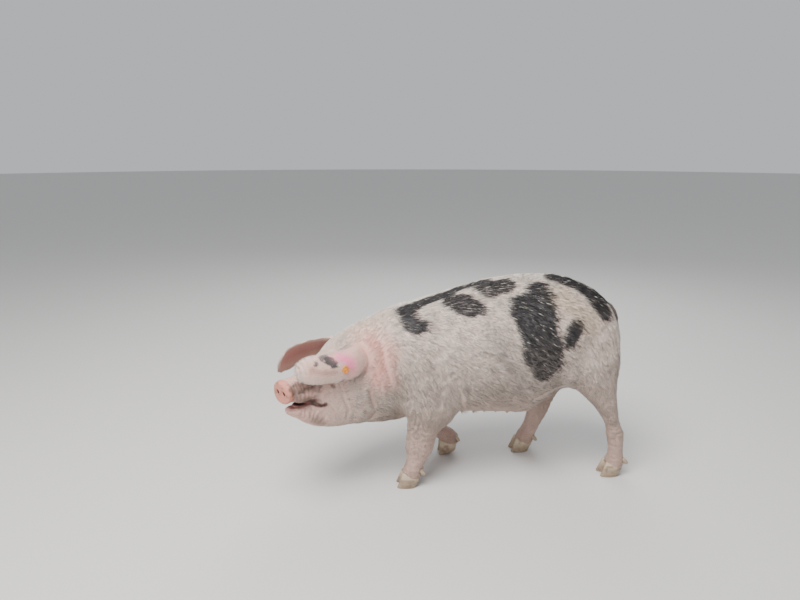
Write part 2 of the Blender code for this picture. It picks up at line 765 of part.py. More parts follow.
def foot_place(x, y, pitch):
    """The matrix that sets a foot down: level, or with its heel raised by the pitch over a small flat toe."""
    toe = Matrix.Translation((-TOE_AHEAD, 0, 0))
    turn = toe @ Matrix.Rotation(math.radians(-pitch), 4, "Y") @ toe.inverted()
    return Matrix.Translation((x, y, -FLAT_DEPTH if pitch else 0)) @ turn


def foot_block(x, y, pitch, gap):
    """The block under the sloping plane that the claws' tops share."""
    lean = Matrix.Translation((0, 0, CORONET - gap)) @ Matrix.Rotation(math.atan(CORONET_RISE), 4, "Y")
    return block("foot_block", (0.15, 0.13, 0.12), foot_place(x, y, pitch) @ lean)


# Up a claw: height, half length and half width
CLAW_LEVELS = (
    (0.000, 0.0405, 0.0180),
    (0.006, 0.0425, 0.0200),
    (0.026, 0.0415, 0.0208),
    (CORONET, 0.0385, 0.0208),
)
CLAW_SIDES = 12


def claw(x, y, side, pitch):
    """One main claw, from its sole on the floor up to the coronet, whose toe splays a little outwards."""
    verts, faces = [], []
    for level, (height, long, wide) in enumerate(CLAW_LEVELS):
        ahead = 0.020 * (1 - height / CORONET) - 0.002
        for k in range(CLAW_SIDES):
            turn = 2 * math.pi * k / CLAW_SIDES
            forward, across = math.cos(turn), math.sin(turn)
            u = -ahead - forward * long
            v = side * 0.0214 + across * wide * (1 - 0.32 * max(0.0, forward) ** 2)
            v += side * 0.09 * max(0.0, -u - 0.02)
            top = level == len(CLAW_LEVELS) - 1
            z = CORONET - CORONET_RISE * u - GAP if top else height
            verts.append(foot_place(x, y, pitch) @ Vector((u, v, z)))
    for i in range(len(CLAW_LEVELS) - 1):
        for k in range(CLAW_SIDES):
            j = (k + 1) % CLAW_SIDES
            low, high = i * CLAW_SIDES, (i + 1) * CLAW_SIDES
            faces.append((low + k, low + j, high + j, high + k))
    faces.append(tuple(range(CLAW_SIDES)))
    last = (len(CLAW_LEVELS) - 1) * CLAW_SIDES
    faces.append(tuple(range(last, last + CLAW_SIDES)))
    made = object_from("claw", verts, faces)
    if pitch:
        combine(made, block("floor", (1.0, 1.0, 0.5), Matrix.Translation((x, y, 0.0))), "DIFFERENCE")
    return made


def dewclaw(x, y, z, side):
    """A small claw behind the pastern."""
    root = Vector((x, y + side * 0.021, z))
    tip = root + Vector((0.022, side * 0.008, -0.022))
    points = [root.lerp(tip, t) for t in (0.0, 0.5, 0.85, 1.0)]
    return tube("dewclaw", points, (0.0110, 0.0100, 0.0075, 0.0035), sides=8)


def turned(name, profile, centre, axis, sides=20):
    """A body turned about an axis, from (distance, radius) pairs that begin and end on the axis."""
    across = axis.orthogonal().normalized()
    up = axis.cross(across)
    verts, faces = [centre + axis * profile[0][0]], []
    for reach, radius in profile[1:-1]:
        for k in range(sides):
            turn = 2 * math.pi * k / sides
            verts.append(centre + axis * reach + (across * math.cos(turn) + up * math.sin(turn)) * radius)
    verts.append(centre + axis * profile[-1][0])
    last = len(verts) - 1
    rings = len(profile) - 2
    for k in range(sides):
        j = (k + 1) % sides
        faces.append((0, 1 + j, 1 + k))
        for i in range(rings - 1):
            low, high = 1 + i * sides, 1 + (i + 1) * sides
            faces.append((low + k, low + j, high + j, high + k))
        faces.append((last, last - sides + k, last - sides + j))
    return object_from(name, verts, faces)


# The tag: its place in rows down the left ear and from edge to edge, and its sizes
TAG_ALONG, TAG_ACROSS = 4.1, -0.30
TAG_RADIUS = 0.0145
PIN_RADIUS = 0.0028
STUD_CLEARANCE = 0.0040


def ear_tag():
    """The round tag's button on the ear's outer face, its stud with a pin through the ear, and the hole."""
    outer = ear_point(LEFT, TAG_ALONG, TAG_ACROSS, 1.0)
    inner = ear_point(LEFT, TAG_ALONG, TAG_ACROSS, -1.0)
    ahead = ear_point(LEFT, TAG_ALONG + 0.1, TAG_ACROSS, 1.0) - outer
    wide = ear_point(LEFT, TAG_ALONG, TAG_ACROSS + 0.1, 1.0) - outer
    axis = ahead.cross(wide).normalized()
    if axis.dot(outer - inner) < 0:
        axis.negate()
    through = (outer - inner).dot(axis)
    base = 0.0024
    back = -through - STUD_CLEARANCE
    button = [
        (base + 0.0012, 0),
        (base + 0.0012, PIN_RADIUS + GAP),
        (base, PIN_RADIUS + GAP),
        (base, TAG_RADIUS - 0.0008),
        (base + 0.0008, TAG_RADIUS),
        (base + 0.0026, TAG_RADIUS),
        (base + 0.0034, TAG_RADIUS - 0.0008),
        (base + 0.0034, 0.0095),
        (base + 0.0024, 0.0088),
        (base + 0.0024, 0.0045),
        (base + 0.0044, 0.0036),
        (base + 0.0044, 0),
    ]
    stud = [
        (base + 0.0012 - GAP, 0),
        (base + 0.0012 - GAP, PIN_RADIUS),
        (back, PIN_RADIUS),
        (back, 0.0070),
        (back - 0.0006, 0.0077),
        (back - 0.0020, 0.0074),
        (back - 0.0026, 0.0058),
        (back - 0.0026, 0),
    ]
    hole = [(0.02, 0), (0.02, PIN_RADIUS + GAP), (-0.03, PIN_RADIUS + GAP), (-0.03, 0)]
    return (
        turned("ear_tag_button", button, outer, axis, 18),
        turned("ear_tag_stud", stud, outer, axis, 14),
        turned("tag_hole", hole, outer, axis, 16),
    )


def main():
    clear_scene()
    pink = material("pink_skin", (0.66, 0.47, 0.42), 0.65)
    horn = material("horn", (0.30, 0.24, 0.18), 0.45)
    wet = material("eye", (0.05, 0.03, 0.02), 0.10)
    orange = material("orange_plastic", (0.90, 0.36, 0.05), 0.40)

    flesh = whole_flesh()
    fine = thinned(flesh, HEAD_DETAIL)
    torso = thinned(flesh, TORSO_DETAIL)
    neck = linked("neck", torso.data.copy())
    snout = linked("snout", fine.data.copy())
    limbs = thinned(flesh, LIMB_DETAIL)

    head = combine(fine, head_block(GAP), "INTERSECT")
    head = combine(head, snout_block(0), "DIFFERENCE")
    keep_largest(head)
    head, eyes = make_head(head)
    finish_list = [(head, "head", pink)]
    finish_list += [(eye, name, wet) for eye, name in zip(eyes, ("eye_left", "eye_right"))]
    snout = make_snout(combine(snout, snout_block(GAP), "INTERSECT"))
    finish_list.append((snout, "snout", pink))

    neck = combine(neck, neck_block(GAP), "INTERSECT")
    neck = combine(neck, head_block(0), "DIFFERENCE")
    torso = combine(torso, neck_block(0), "DIFFERENCE")
    for name, (rows, side, box, pitch) in LEGS.items():
        torso = combine(torso, leg_box(side, box, 0), "DIFFERENCE")
        leg = combine(linked(name, limbs.data.copy()), leg_box(side, box, GAP), "INTERSECT")
        leg = combine(leg, neck_block(0), "DIFFERENCE")
        x, y = rows[-1][0], side * rows[-1][2]
        leg = combine(leg, foot_block(x, y, pitch, 0), "DIFFERENCE")
        keep_largest(leg)
        place = rows[-3]
        for toe, which in ((-side, "inner"), (side, "outer")):
            finish_list.append((claw(x, y, toe, pitch), name + "_claw_" + which, horn))
            small = dewclaw(place[0] + place[3] - 0.014, y, place[1] + 0.006, toe)
            combine(leg, swollen(small, GAP), "DIFFERENCE")
            finish_list.append((small, name + "_dewclaw_" + which, horn))
        finish_list.append((leg, name, pink))
    keep_largest(torso)
    torso = united("torso", [torso] + teats())
    tail_node = combine(tail(), swollen(torso, GAP), "DIFFERENCE")
    finish_list.append((tail_node, "tail", pink))
    finish_list.append((torso, "torso", pink))

    body_skin = [swollen(head, GAP), swollen(neck, GAP)]
    for side, name in ((LEFT, "ear_left"), (RIGHT, "ear_right")):
        made = ear(side)
        for skin in body_skin:
            made = combine(made, linked("skin", skin.data.copy()), "DIFFERENCE")
        if side == LEFT:
            button, stud, hole = ear_tag()
            made = combine(made, hole, "DIFFERENCE")
            finish_list += [(button, "ear_tag_button", orange), (stud, "ear_tag_stud", orange)]
        finish_list.append((made, name, pink))
    remove(*body_skin)
    finish_list.append((neck, "neck", pink))

    remove(flesh, limbs)
    for obj, name, colour in finish_list:
        finish(obj, name, colour)


main()
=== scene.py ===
"""The dressed Gloucestershire Old Spot sow: one skin, a coat of short tufts, eyes, claws and an ear tag."""

import math

import bmesh
import bpy
import numpy as np
from mathutils import Matrix, Vector
from mathutils.bvhtree import BVHTree
from mathutils.kdtree import KDTree


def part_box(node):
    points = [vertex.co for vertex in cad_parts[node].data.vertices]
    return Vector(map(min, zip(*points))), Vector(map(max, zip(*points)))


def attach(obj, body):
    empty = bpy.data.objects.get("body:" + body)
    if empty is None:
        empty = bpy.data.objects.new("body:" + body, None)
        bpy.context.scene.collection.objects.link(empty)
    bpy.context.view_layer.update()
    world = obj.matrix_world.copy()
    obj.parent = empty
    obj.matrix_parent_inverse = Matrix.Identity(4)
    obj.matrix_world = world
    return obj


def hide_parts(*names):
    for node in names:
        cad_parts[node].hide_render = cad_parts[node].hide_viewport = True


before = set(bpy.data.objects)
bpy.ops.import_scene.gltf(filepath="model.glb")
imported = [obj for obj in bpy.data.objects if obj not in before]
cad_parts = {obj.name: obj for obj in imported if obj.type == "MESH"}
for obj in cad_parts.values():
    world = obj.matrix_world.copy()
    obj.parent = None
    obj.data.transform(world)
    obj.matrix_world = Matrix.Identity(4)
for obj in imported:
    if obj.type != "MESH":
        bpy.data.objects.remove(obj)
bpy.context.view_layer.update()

RANDOM = np.random.default_rng(11)
LEFT, RIGHT = -1, 1
LEGS = ("foreleg_left", "foreleg_right", "hindleg_left", "hindleg_right")
FLESH = ("torso", "neck", "head", "snout", "tail", "ear_left", "ear_right") + LEGS
TORSO, NECK, HEAD, SNOUT, TAIL, LEFT_EAR, RIGHT_EAR = range(7)
ROUND = 2 * math.pi

# The head's own axes, and the offset of the tables below from the frame's origin
SHIFT = np.array((-0.035, 0.0456, 0.0))
POLL = np.array((-0.445, -0.0094, 0.0))
YAW = math.radians(40)
AHEAD = np.array((-math.cos(YAW), -math.sin(YAW), 0.0))
LEFTWARD = np.array((math.sin(YAW), -math.cos(YAW), 0.0))
UPWARD = np.array((0.0, 0.0, 1.0))
HEAD_TURN = Matrix.Rotation(YAW, 4, "Z")


def head_point(forward, lateral, height):
    return POLL + AHEAD * forward + LEFTWARD * lateral + UPWARD * height


def face_line(points, side):
    """A line on the face, through (ahead, lateral, height), on that side."""
    return [tuple(head_point(a, -side * b, z)) for a, b, z in points]


def head_axes(points):
    """Distance ahead of the poll, towards the left, and height, for each point."""
    rel = points - POLL
    return rel @ AHEAD, rel @ LEFTWARD, points[:, 2]


def step(low, high, value):
    """0 below low, 1 above high and smooth between them."""
    t = np.clip((value - low) / (high - low), 0, 1)
    return t * t * (3 - 2 * t)


def unit(vectors):
    return vectors / np.maximum(np.linalg.norm(vectors, axis=-1, keepdims=True), 1e-9)


def lattice(cells, seed):
    h = cells[:, 0] * 374761393 + cells[:, 1] * 668265263 + cells[:, 2] * 1442695041 + seed * 974634777
    h = (h & 0xFFFFFFFF) ^ ((h & 0xFFFFFFFF) >> 13)
    h = (h * 1274126177) & 0xFFFFFFFF
    return ((h ^ (h >> 16)) & 0xFFFFFF) / 0xFFFFFF


def noise(points, size, seed=0):
    """Smooth noise from -1 to 1 whose lumps are about `size` metres across."""
    q = points / size + 512.0
    base = np.floor(q).astype(np.int64)
    f = q - base
    f = f * f * (3 - 2 * f)
    total = np.zeros(len(points))
    for corner in np.ndindex(2, 2, 2):
        c = np.array(corner)
        total += np.prod(np.where(c, f, 1 - f), axis=1) * lattice(base + c, seed)
    return total * 2 - 1


def to_line(points, line):
    """Distance of each point from a polyline."""
    line = np.asarray(line, float)
    if len(line) == 1:
        return distance(points, line[0])
    best = np.full(len(points), 1e9)
    for a, b in zip(line[:-1], line[1:]):
        run = b - a
        t = np.clip((points - a) @ run / max(run @ run, 1e-12), 0, 1)
        best = np.minimum(best, distance(points - t[:, None] * run, a))
    return best


def linked(name, mesh):
    obj = bpy.data.objects.new(name, mesh)
    bpy.context.scene.collection.objects.link(obj)
    return obj


def mesh_of(shape, name):
    mesh = bpy.data.meshes.new(name)
    shape.to_mesh(mesh)
    shape.free()
    return mesh


def applied(obj):
    bpy.context.view_layer.update()
    graph = bpy.context.evaluated_depsgraph_get()
    done = bpy.data.meshes.new_from_object(obj.evaluated_get(graph))
    obj.modifiers.clear()
    obj.data = done
    return obj


def object_from(name, verts, faces):
    shape = bmesh.new()
    corners = [shape.verts.new(v) for v in verts]
    for face in faces:
        shape.faces.new([corners[i] for i in face])
    bmesh.ops.recalc_face_normals(shape, faces=shape.faces)
    if shape.calc_volume(signed=True) < 0:
        bmesh.ops.reverse_faces(shape, faces=shape.faces)
    return linked(name, mesh_of(shape, name))


def rings(name, loops):
    """A closed skin over loops of points, all with the same number of points."""
    size = len(loops[0])
    verts = [tuple(p) for loop in loops for p in loop]
    faces = []
    for i in range(len(loops) - 1):
        for k in range(size):
            j = (k + 1) % size
            faces.append((i * size + k, i * size + j, (i + 1) * size + j, (i + 1) * size + k))
    for low in (0, (len(loops) - 1) * size):
        middle = len(verts)
        verts.append(tuple(np.mean([verts[low + k] for k in range(size)], axis=0)))
        faces += [(low + k, low + (k + 1) % size, middle) for k in range(size)]
    return object_from(name, verts, faces)


def smooth_rows(rows, steps):
    """Rows along a smooth curve through the given rows."""
    given = np.array(rows, float)
    line = np.vstack([2 * given[0] - given[1], given, 2 * given[-1] - given[-2]])
    found = []
    for i in range(1, len(line) - 2):
        before, here, after, beyond = line[i - 1 : i + 3]
        for t in np.arange(steps) / steps:
            bend = (after - before) * t
            bend += (2 * before - 5 * here + 4 * after - beyond) * t**2
            bend += (3 * here - before - 3 * after + beyond) * t**3
            found.append(here + bend / 2)
    found.append(line[-2])
    return np.array(found)


def tube(name, points, radii, sides=12):
    path = np.array(points, float)
    tangents = unit(np.gradient(path, axis=0))
    lean = np.array((0.31, 0.87, 0.38))
    turns = np.arange(sides) * ROUND / sides
    loops = []
    for place, along, radius in zip(path, tangents, radii):
        across = unit(lean - along * (lean @ along))
        up = np.cross(along, across)
        loops.append([place + (across * math.cos(t) + up * math.sin(t)) * radius for t in turns])
    return rings(name, loops)


def ball(name, centre, radii, turn=None, segments=32):
    shape = bmesh.new()
    bmesh.ops.create_uvsphere(shape, u_segments=segments, v_segments=segments * 3 // 4, radius=1.0)
    place = Matrix.Translation(Vector(centre)) @ (turn or Matrix()) @ Matrix.Diagonal((*radii, 1))
    bmesh.ops.transform(shape, matrix=place, verts=shape.verts)
    return linked(name, mesh_of(shape, name))


def vectors_of(items, key):
    found = np.empty(len(items) * 3)
    items.foreach_get(key, found)
    return found.reshape(-1, 3)


def positions(mesh):
    return vectors_of(mesh.vertices, "co")


def normals(mesh):
    return vectors_of(mesh.vertex_normals, "vector")


def distance(points, centre):
    return np.linalg.norm(points - centre, axis=1)


def place_points(mesh, points):
    mesh.vertices.foreach_set("co", points.ravel())
    mesh.update()


def tree_of(mesh):
    return BVHTree.FromPolygons([v.co for v in mesh.vertices], [p.vertices for p in mesh.polygons])


def combine(target, other, operation):
    cut = target.modifiers.new("cut", "BOOLEAN")
    cut.operation = operation
    cut.solver = "MANIFOLD"
    cut.object = other
    applied(target)
    bpy.data.objects.remove(other, do_unlink=True)
    return target


def smoothed(obj, weights, iterations):
    """The object with its points relaxed by these weights, one a point."""
    group = obj.vertex_groups.new(name="part")
    levels = np.round(np.clip(weights, 0, 1) * 10).astype(int)
    for level in range(1, 11):
        members = np.flatnonzero(levels == level)
        if len(members):
            group.add(members.tolist(), level / 10, "REPLACE")
    relax = obj.modifiers.new("relax", "SMOOTH")
    relax.factor = 0.5
    relax.iterations = iterations
    relax.vertex_group = group.name
    applied(obj)
    obj.vertex_groups.clear()


# The ears from root to tip: middle (ahead, lateral, height), half breadth, curl, half thickness and slant
EAR_ROWS = [
    (0.004, 0.070, 0.622, 0.030, 0.000, 0.0160, 1.20),
    (0.036, 0.094, 0.617, 0.044, 0.004, 0.0125, 1.05),
    (0.072, 0.116, 0.610, 0.053, 0.012, 0.0090, 0.85),
    (0.118, 0.131, 0.604, 0.058, 0.021, 0.0065, 0.68),
    (0.170, 0.133, 0.602, 0.059, 0.026, 0.0055, 0.58),
    (0.222, 0.121, 0.602, 0.057, 0.026, 0.0050, 0.52),
    (0.270, 0.101, 0.604, 0.057, 0.021, 0.0045, 0.50),
    (0.308, 0.080, 0.602, 0.050, 0.014, 0.0042, 0.50),
    (0.332, 0.064, 0.598, 0.034, 0.007, 0.0040, 0.50),
]
EAR_LINE = smooth_rows(EAR_ROWS, 8)


def ear_point(side, along, across, depth):
    """A point of an ear, by its row, from -1 to 1 across it and from -1 to 1 through it."""
    at = min(along * 8, len(EAR_LINE) - 1.001)
    low = int(at)
    row = EAR_LINE[low] + (EAR_LINE[low + 1] - EAR_LINE[low]) * (at - low)
    run = EAR_LINE[low + 1] - EAR_LINE[max(low - 1, 0)]
    outward = LEFTWARD * -side
    ahead = unit(AHEAD * run[0] + outward * run[1] + UPWARD * run[2])
    breadth = UPWARD - outward * row[6]
    breadth = unit(breadth - ahead * (breadth @ ahead))
    out = np.cross(ahead, breadth)
    if out @ outward < 0:
        out = -out
    middle = head_point(row[0], -side * row[1], row[2])
    edge = max(0.0, 1 - abs(across) ** 4)
    fold = row[4] * (1 - across * across - 0.55) + 0.30 * row[4] * across
    ripple = 0.0016 * math.sin(9.0 * along / 2.2 + 3 * side + 2.2 * across) * abs(across) ** 2
    thick = row[5] * 0.88 * depth * (0.35 + 0.65 * edge)
    return middle + breadth * (row[3] * 0.985 * across) + out * (fold + thick + ripple)


def ear(side):
    across = np.sin(np.linspace(-0.5, 0.5, 25) * math.pi)
    ring = [(a, 1.0) for a in across] + [(a, -1.0) for a in across[-2:0:-1]]
    loops = []
    for along in np.linspace(0, len(EAR_ROWS) - 1, 84):
        loops.append([ear_point(side, along, a, depth) for a, depth in ring])
    last = np.array(loops[-1])
    middle = last.mean(axis=0)
    ahead = unit(middle - np.array(loops[-4]).mean(axis=0))
    for reach, size in ((0.004, 0.86), (0.0075, 0.62), (0.0092, 0.30)):
        loops.append(list(middle + (last - middle) * size + ahead * reach))
    return rings("ear", loops)


# The tail's middle line, and its radius
TAIL_ROWS = [
    (0.672, 0.000, 0.762, 0.0180),
    (0.712, 0.001, 0.744, 0.0168),
    (0.741, 0.003, 0.704, 0.0142),
    (0.757, 0.005, 0.650, 0.0118),
    (0.763, 0.003, 0.590, 0.0098),
    (0.763, -0.002, 0.530, 0.0082),
    (0.762, -0.006, 0.480, 0.0066),
    (0.763, -0.006, 0.452, 0.0045),
]
TAIL_LINE = smooth_rows(TAIL_ROWS, 6)

# The snout's disc: how far ahead, its middle's height, and half its height and width
DISC_ROWS = [
    (0.322, 0.5185, 0.0380, 0.0420),
    (0.346, 0.5135, 0.0395, 0.0440),
    (0.353, 0.5120, 0.0450, 0.0510),
    (0.362, 0.5098, 0.0463, 0.0522),
    (0.3700, 0.5085, 0.0445, 0.0505),
    (0.3730, 0.5078, 0.0405, 0.0462),
]

# The parting of the lips, from its corner forwards
LIP_LINE = [(0.224, 0.0800, 0.438), (0.238, 0.0680, 0.435), (0.250, 0.0570, 0.439), (0.266, 0.0440, 0.446)]

# The nostrils' middles: how far to either side, and how high
NOSTRIL_ASIDE, NOSTRIL_HEIGHT = 0.0195, 0.511


def disc():
    """The snout's disc, whose face is a little hollow between a raised rim."""
    turns = np.arange(72) * ROUND / 72
    c, s = np.cos(turns), np.sin(turns)
    rise = np.sign(c) * np.abs(c) ** (2 / 2.2)
    reach = np.sign(s) * np.abs(s) ** (2 / 2.2) * (1 - 0.04 * rise)
    loops = []
    for forward, z, high, wide in smooth_rows(DISC_ROWS, 4):
        loops.append([head_point(forward, wide * b, z + high * a) for a, b in zip(rise, reach)])
    for share in (0.90, 0.78, 0.62, 0.45, 0.28, 0.12):
        sink = 0.0016 * (1 - share**4)
        flat = [(0.0462 * b * share, 0.5078 + 0.0405 * a * share) for a, b in zip(rise, reach)]
        loops.append([head_point(0.3732 - sink, across, height) for across, height in flat])
    return rings("disc", loops)


def teats():
    made = []
    for side in (LEFT, RIGHT):
        for k in range(7):
            root = SHIFT + (0.055 + 0.05 * k, side * (0.066 + 0.006 * math.sin(2 * k)), 0.310)
            tip = root + (0.002, side * 0.005, -0.023 - 0.003 * (k > 3))
            shares = (0.0, 0.3, 0.55, 0.75, 0.90, 0.98, 1.0)
            radii = (0.0150, 0.0098, 0.0080, 0.0072, 0.0062, 0.0044, 0.0020)
            made.append(tube("teat", [root + (tip - root) * t for t in shares], radii, sides=14))
    return made


# The eyes: their places come from the frame's own eyes
EYE_RADIUS = 0.0125
EYES = {}
for eye_side, eye_name in ((LEFT, "eye_left"), (RIGHT, "eye_right")):
    low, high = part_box(eye_name)
    look = unit(AHEAD * 0.40 + LEFTWARD * (-eye_side * 0.88) + UPWARD * 0.16)
    corner_line = AHEAD - UPWARD * 0.35
    corner_line = unit(corner_line - look * (corner_line @ look))
    over = np.cross(look, corner_line)
    over = over if over[2] > 0 else -over
    EYES[eye_side] = ((np.array(low) + np.array(high)) / 2, look, corner_line, over)


def from_eyes(points):
    """Distance of each point from the middle of the nearer eye."""
    return np.minimum(*(distance(points, centre) for centre, *_ in EYES.values()))


# The opening between the lids: half its width, how far it opens up and down, and the lids' thickness
OPENING, OPEN_UP, OPEN_DOWN = 0.0112, 0.0056, 0.0046
LID = 0.0030


def almond(turn, grow=0.0):
    """The opening's edge at this angle round it, as offsets along and above the line of its corners."""
    along, over = math.cos(turn), math.sin(turn)
    reach = (OPEN_UP if over > 0 else OPEN_DOWN) + grow
    return along * (OPENING + grow), over * abs(over) ** 0.35 * reach


def on_lid(side, along, over, radius):
    """The point over the eye at these offsets and this distance from its middle."""
    centre, look, corner_line, upward = EYES[side]
    ahead = math.sqrt(max(radius**2 - along**2 - over**2, 1e-9))
    return centre + look * ahead + corner_line * along + upward * over


def lid_cut(side):
    """What opens the lids down to the ball."""
    centre, look, corner_line, upward = EYES[side]
    turns = np.arange(48) * ROUND / 48
    loops = []
    for ahead, grow in ((0.0040, -0.0008), (0.0115, 0.0), (0.0160, 0.0012), (0.0240, 0.0060)):
        edge = [almond(t, grow) for t in turns]
        loops.append([centre + look * ahead + corner_line * x + upward * y for x, y in edge])
    return rings("lid_cut", loops)


def lid_rims(side):
    """The swollen margins of the lids, and the fold over the upper one."""
    made = []
    for first, last, thick in ((0.02, 0.98, 0.0015), (1.02, 1.98, 0.0013)):
        turns = np.linspace(first, last, 29) * math.pi
        points = [on_lid(side, *almond(t, 0.0009), EYE_RADIUS + 0.0020) for t in turns]
        bulge = np.sin(np.linspace(0.12, 0.88, 29) * math.pi)
        made.append(tube("rim", points, thick * bulge, sides=10))
    turns = np.linspace(0.06, 0.94, 29) * math.pi
    points = [on_lid(side, *almond(t, 0.0042), EYE_RADIUS + 0.0022) for t in turns]
    made.append(tube("fold", points, 0.0020 * np.sin(np.linspace(0.10, 0.90, 29) * math.pi), sides=10))
    return made


# How far the flesh is swollen to close its cuts, the fused mesh's grain, and the width of a fillet
OVERLAP, VOXEL, FILLET = 0.0006, 0.005, 0.012


def fused_flesh():
    """One closed surface over the solids of the flesh, without the thin cuts."""
    joined = bmesh.new()
    names = [n for n in FLESH if n not in ("tail", "ear_left", "ear_right")]
    for name in names + ["eye_left", "eye_right"]:
        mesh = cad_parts[name].data.copy()
        place_points(mesh, positions(mesh) + normals(mesh) * OVERLAP)
        joined.from_mesh(mesh)
        bpy.data.meshes.remove(mesh)
    skin = linked("skin", mesh_of(joined, "skin"))
    fuse = skin.modifiers.new("fuse", "REMESH")
    fuse.mode = "VOXEL"
    fuse.voxel_size = VOXEL
    applied(skin)
    return skin


def relax_flesh(skin):
    """Smooths the trunk, where the solids met, then the whole, and the sockets once more."""
    points = positions(skin.data)
    ahead, _, height = head_axes(points)
    trunk = step(0.30, 0.42, height) * (1 - step(0.02, 0.12, ahead))
    smoothed(skin, trunk, 60)
    smoothed(skin, np.ones(len(points)), 7)
    points = positions(skin.data)
    smoothed(skin, 1 - step(0.024, 0.040, from_eyes(points)), 22)


def refine_face(skin):
    """Gives the head a mesh twice as fine."""
    shape = bmesh.new()
    shape.from_mesh(skin.data)
    points = positions(skin.data)
    ahead, _, height = head_axes(points)
    fine = set(np.flatnonzero((ahead > 0.03) & (height > 0.26)).tolist())
    edges = [e for e in shape.edges if e.verts[0].index in fine and e.verts[1].index in fine]
    bmesh.ops.subdivide_edges(shape, edges=edges, cuts=1, use_grid_fill=True)
    bmesh.ops.triangulate(shape, faces=[f for f in shape.faces if len(f.verts) > 4])
    shape.to_mesh(skin.data)
    shape.free()
    ahead, _, _ = head_axes(positions(skin.data))
    smoothed(skin, step(0.02, 0.06, ahead), 10)


def added_forms():
    extras = [ear(LEFT), ear(RIGHT), disc()] + teats()
    extras.append(tube("tail", TAIL_LINE[:, :3] + SHIFT, TAIL_LINE[:, 3], sides=18))
    for side in (LEFT, RIGHT):
        extras.append(ball("lids", EYES[side][0], (EYE_RADIUS + LID,) * 3, segments=72))
        extras += lid_rims(side)
    extras.append(ball("tongue", head_point(0.278, 0, 0.4370), (0.046, 0.029, 0.0120), HEAD_TURN, 48))
    return extras


def cut_openings(skin):
    """Cuts the nostrils, the openings of the lids and the slits at the mouth's corners."""
    turn = HEAD_TURN @ Matrix.Rotation(math.radians(14), 4, "Y")
    for side in (LEFT, RIGHT):
        nostril = head_point(0.377, -side * NOSTRIL_ASIDE, NOSTRIL_HEIGHT)
        combine(skin, ball("pit", nostril, (0.022, 0.0072, 0.0104), turn, 36), "DIFFERENCE")
    for side in (LEFT, RIGHT):
        combine(skin, lid_cut(side), "DIFFERENCE")
        line = smooth_rows(face_line(LIP_LINE, side), 6)
        shares = np.linspace(0, 1, len(line))
        combine(skin, tube("slit", line, 0.0022 + 0.0070 * shares, sides=14), "DIFFERENCE")


def fillet(skin, base, other):
    """Makes the flesh and the forms added to it run into each other where they meet."""
    points = positions(skin.data)
    weights = np.zeros(len(points))
    for i, p in enumerate(points):
        far = other.find_nearest(Vector(p), FILLET)[3]
        own = None if far is None else base.find_nearest(Vector(p), FILLET)[3]
        if own is not None:
            weights[i] = 1 - max(far, own) / FILLET
    ahead, _, height = head_axes(points)
    weights *= np.where(ahead > 0.30, 0.5, 1.0)
    weights[(ahead > 0.21) & (height > 0.42) & (height < 0.475)] = 0
    weights *= step(0.0150, 0.0175, from_eyes(points))
    smoothed(skin, weights * 1.3, 10)


def fused_skin():
    skin = fused_flesh()
    relax_flesh(skin)
    refine_face(skin)
    base = tree_of(skin.data)
    extras = added_forms()
    added = bmesh.new()
    for extra in extras:
        added.from_mesh(extra.data)
    other = tree_of(mesh_of(added, "added"))
    for extra in extras:
        combine(skin, extra, "UNION")
    cut_openings(skin)
    fillet(skin, base, other)
    return skin


SKIN = fused_skin()

# Which part of the body each point of the skin belongs to
part_verts, part_faces, part_of_face = [], [], []
for index, name in enumerate(FLESH):
    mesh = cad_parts[name].data
    start = len(part_verts)
    part_verts += [v.co.copy() for v in mesh.vertices]
    part_faces += [[start + i for i in p.vertices] for p in mesh.polygons]
    part_of_face += [index] * len(mesh.polygons)
PART_TREE = BVHTree.FromPolygons(part_verts, part_faces)

P = positions(SKIN.data)
N = normals(SKIN.data)
PART = np.array(part_of_face)[[PART_TREE.find_nearest(Vector(p))[2] for p in P]]
IS = {name: PART == i for i, name in enumerate(FLESH)}
IS_LEG = PART > RIGHT_EAR
IS_EAR = IS["ear_left"] | IS["ear_right"]
S, L, Z = head_axes(P)

edge_ends = np.empty(len(SKIN.data.edges) * 2, int)
SKIN.data.edges.foreach_get("vertices", edge_ends)
EDGE_A, EDGE_B = edge_ends.reshape(-1, 2).T
NEIGHBOURS = np.bincount(EDGE_A, minlength=len(P)) + np.bincount(EDGE_B, minlength=len(P))


def spread(values, times):
    """Values averaged with their neighbours on the skin, so many times over."""
    values = np.array(values, float)
    flat = values.reshape(len(values), -1)
    for _ in range(times):
        total = np.empty_like(flat)
        for c in range(flat.shape[1]):
            total[:, c] = np.bincount(EDGE_A, flat[EDGE_B, c], len(P))
            total[:, c] += np.bincount(EDGE_B, flat[EDGE_A, c], len(P))
        flat = (flat + total / np.maximum(NEIGHBOURS, 1)[:, None]) / 2
    return flat.reshape(values.shape)


# How far across an ear each of its points is, from 0 in the middle to 1 at the rim
RIM = np.zeros(len(P))
for ear_side, ear_name in ((LEFT, "ear_left"), (RIGHT, "ear_right")):
    grid = [(a, c) for a in np.linspace(0, 8, 65) for c in np.linspace(-1, 1, 33)]
    net = KDTree(len(grid))
    for i, (along, across) in enumerate(grid):
        net.insert(ear_point(ear_side, along, across, 0), i)
    net.balance()
    for i in np.flatnonzero(IS[ear_name]):
        along, across = grid[net.find(P[i])[1]]
        RIM[i] = max(abs(across), step(6.0, 7.8, along))


def crease(line, width, depth):
    """A fold along a line: a groove with a low roll on either side."""
    d = to_line(P, line) / width
    return depth * (0.16 * np.exp(-((d - 2.2) ** 2)) - 0.85 * np.exp(-(d**2)))


def between(value, low, full, ebb, high):
    """1 from full to ebb, falling to 0 at low and at high."""
    return step(low, full, value) * (1 - step(ebb, high, value))


def waves(strength, phase, size, seed, swing=3.0):
    """Ripples over the skin, bent by noise."""
    return strength * np.sin(phase + swing * noise(P, size, seed))


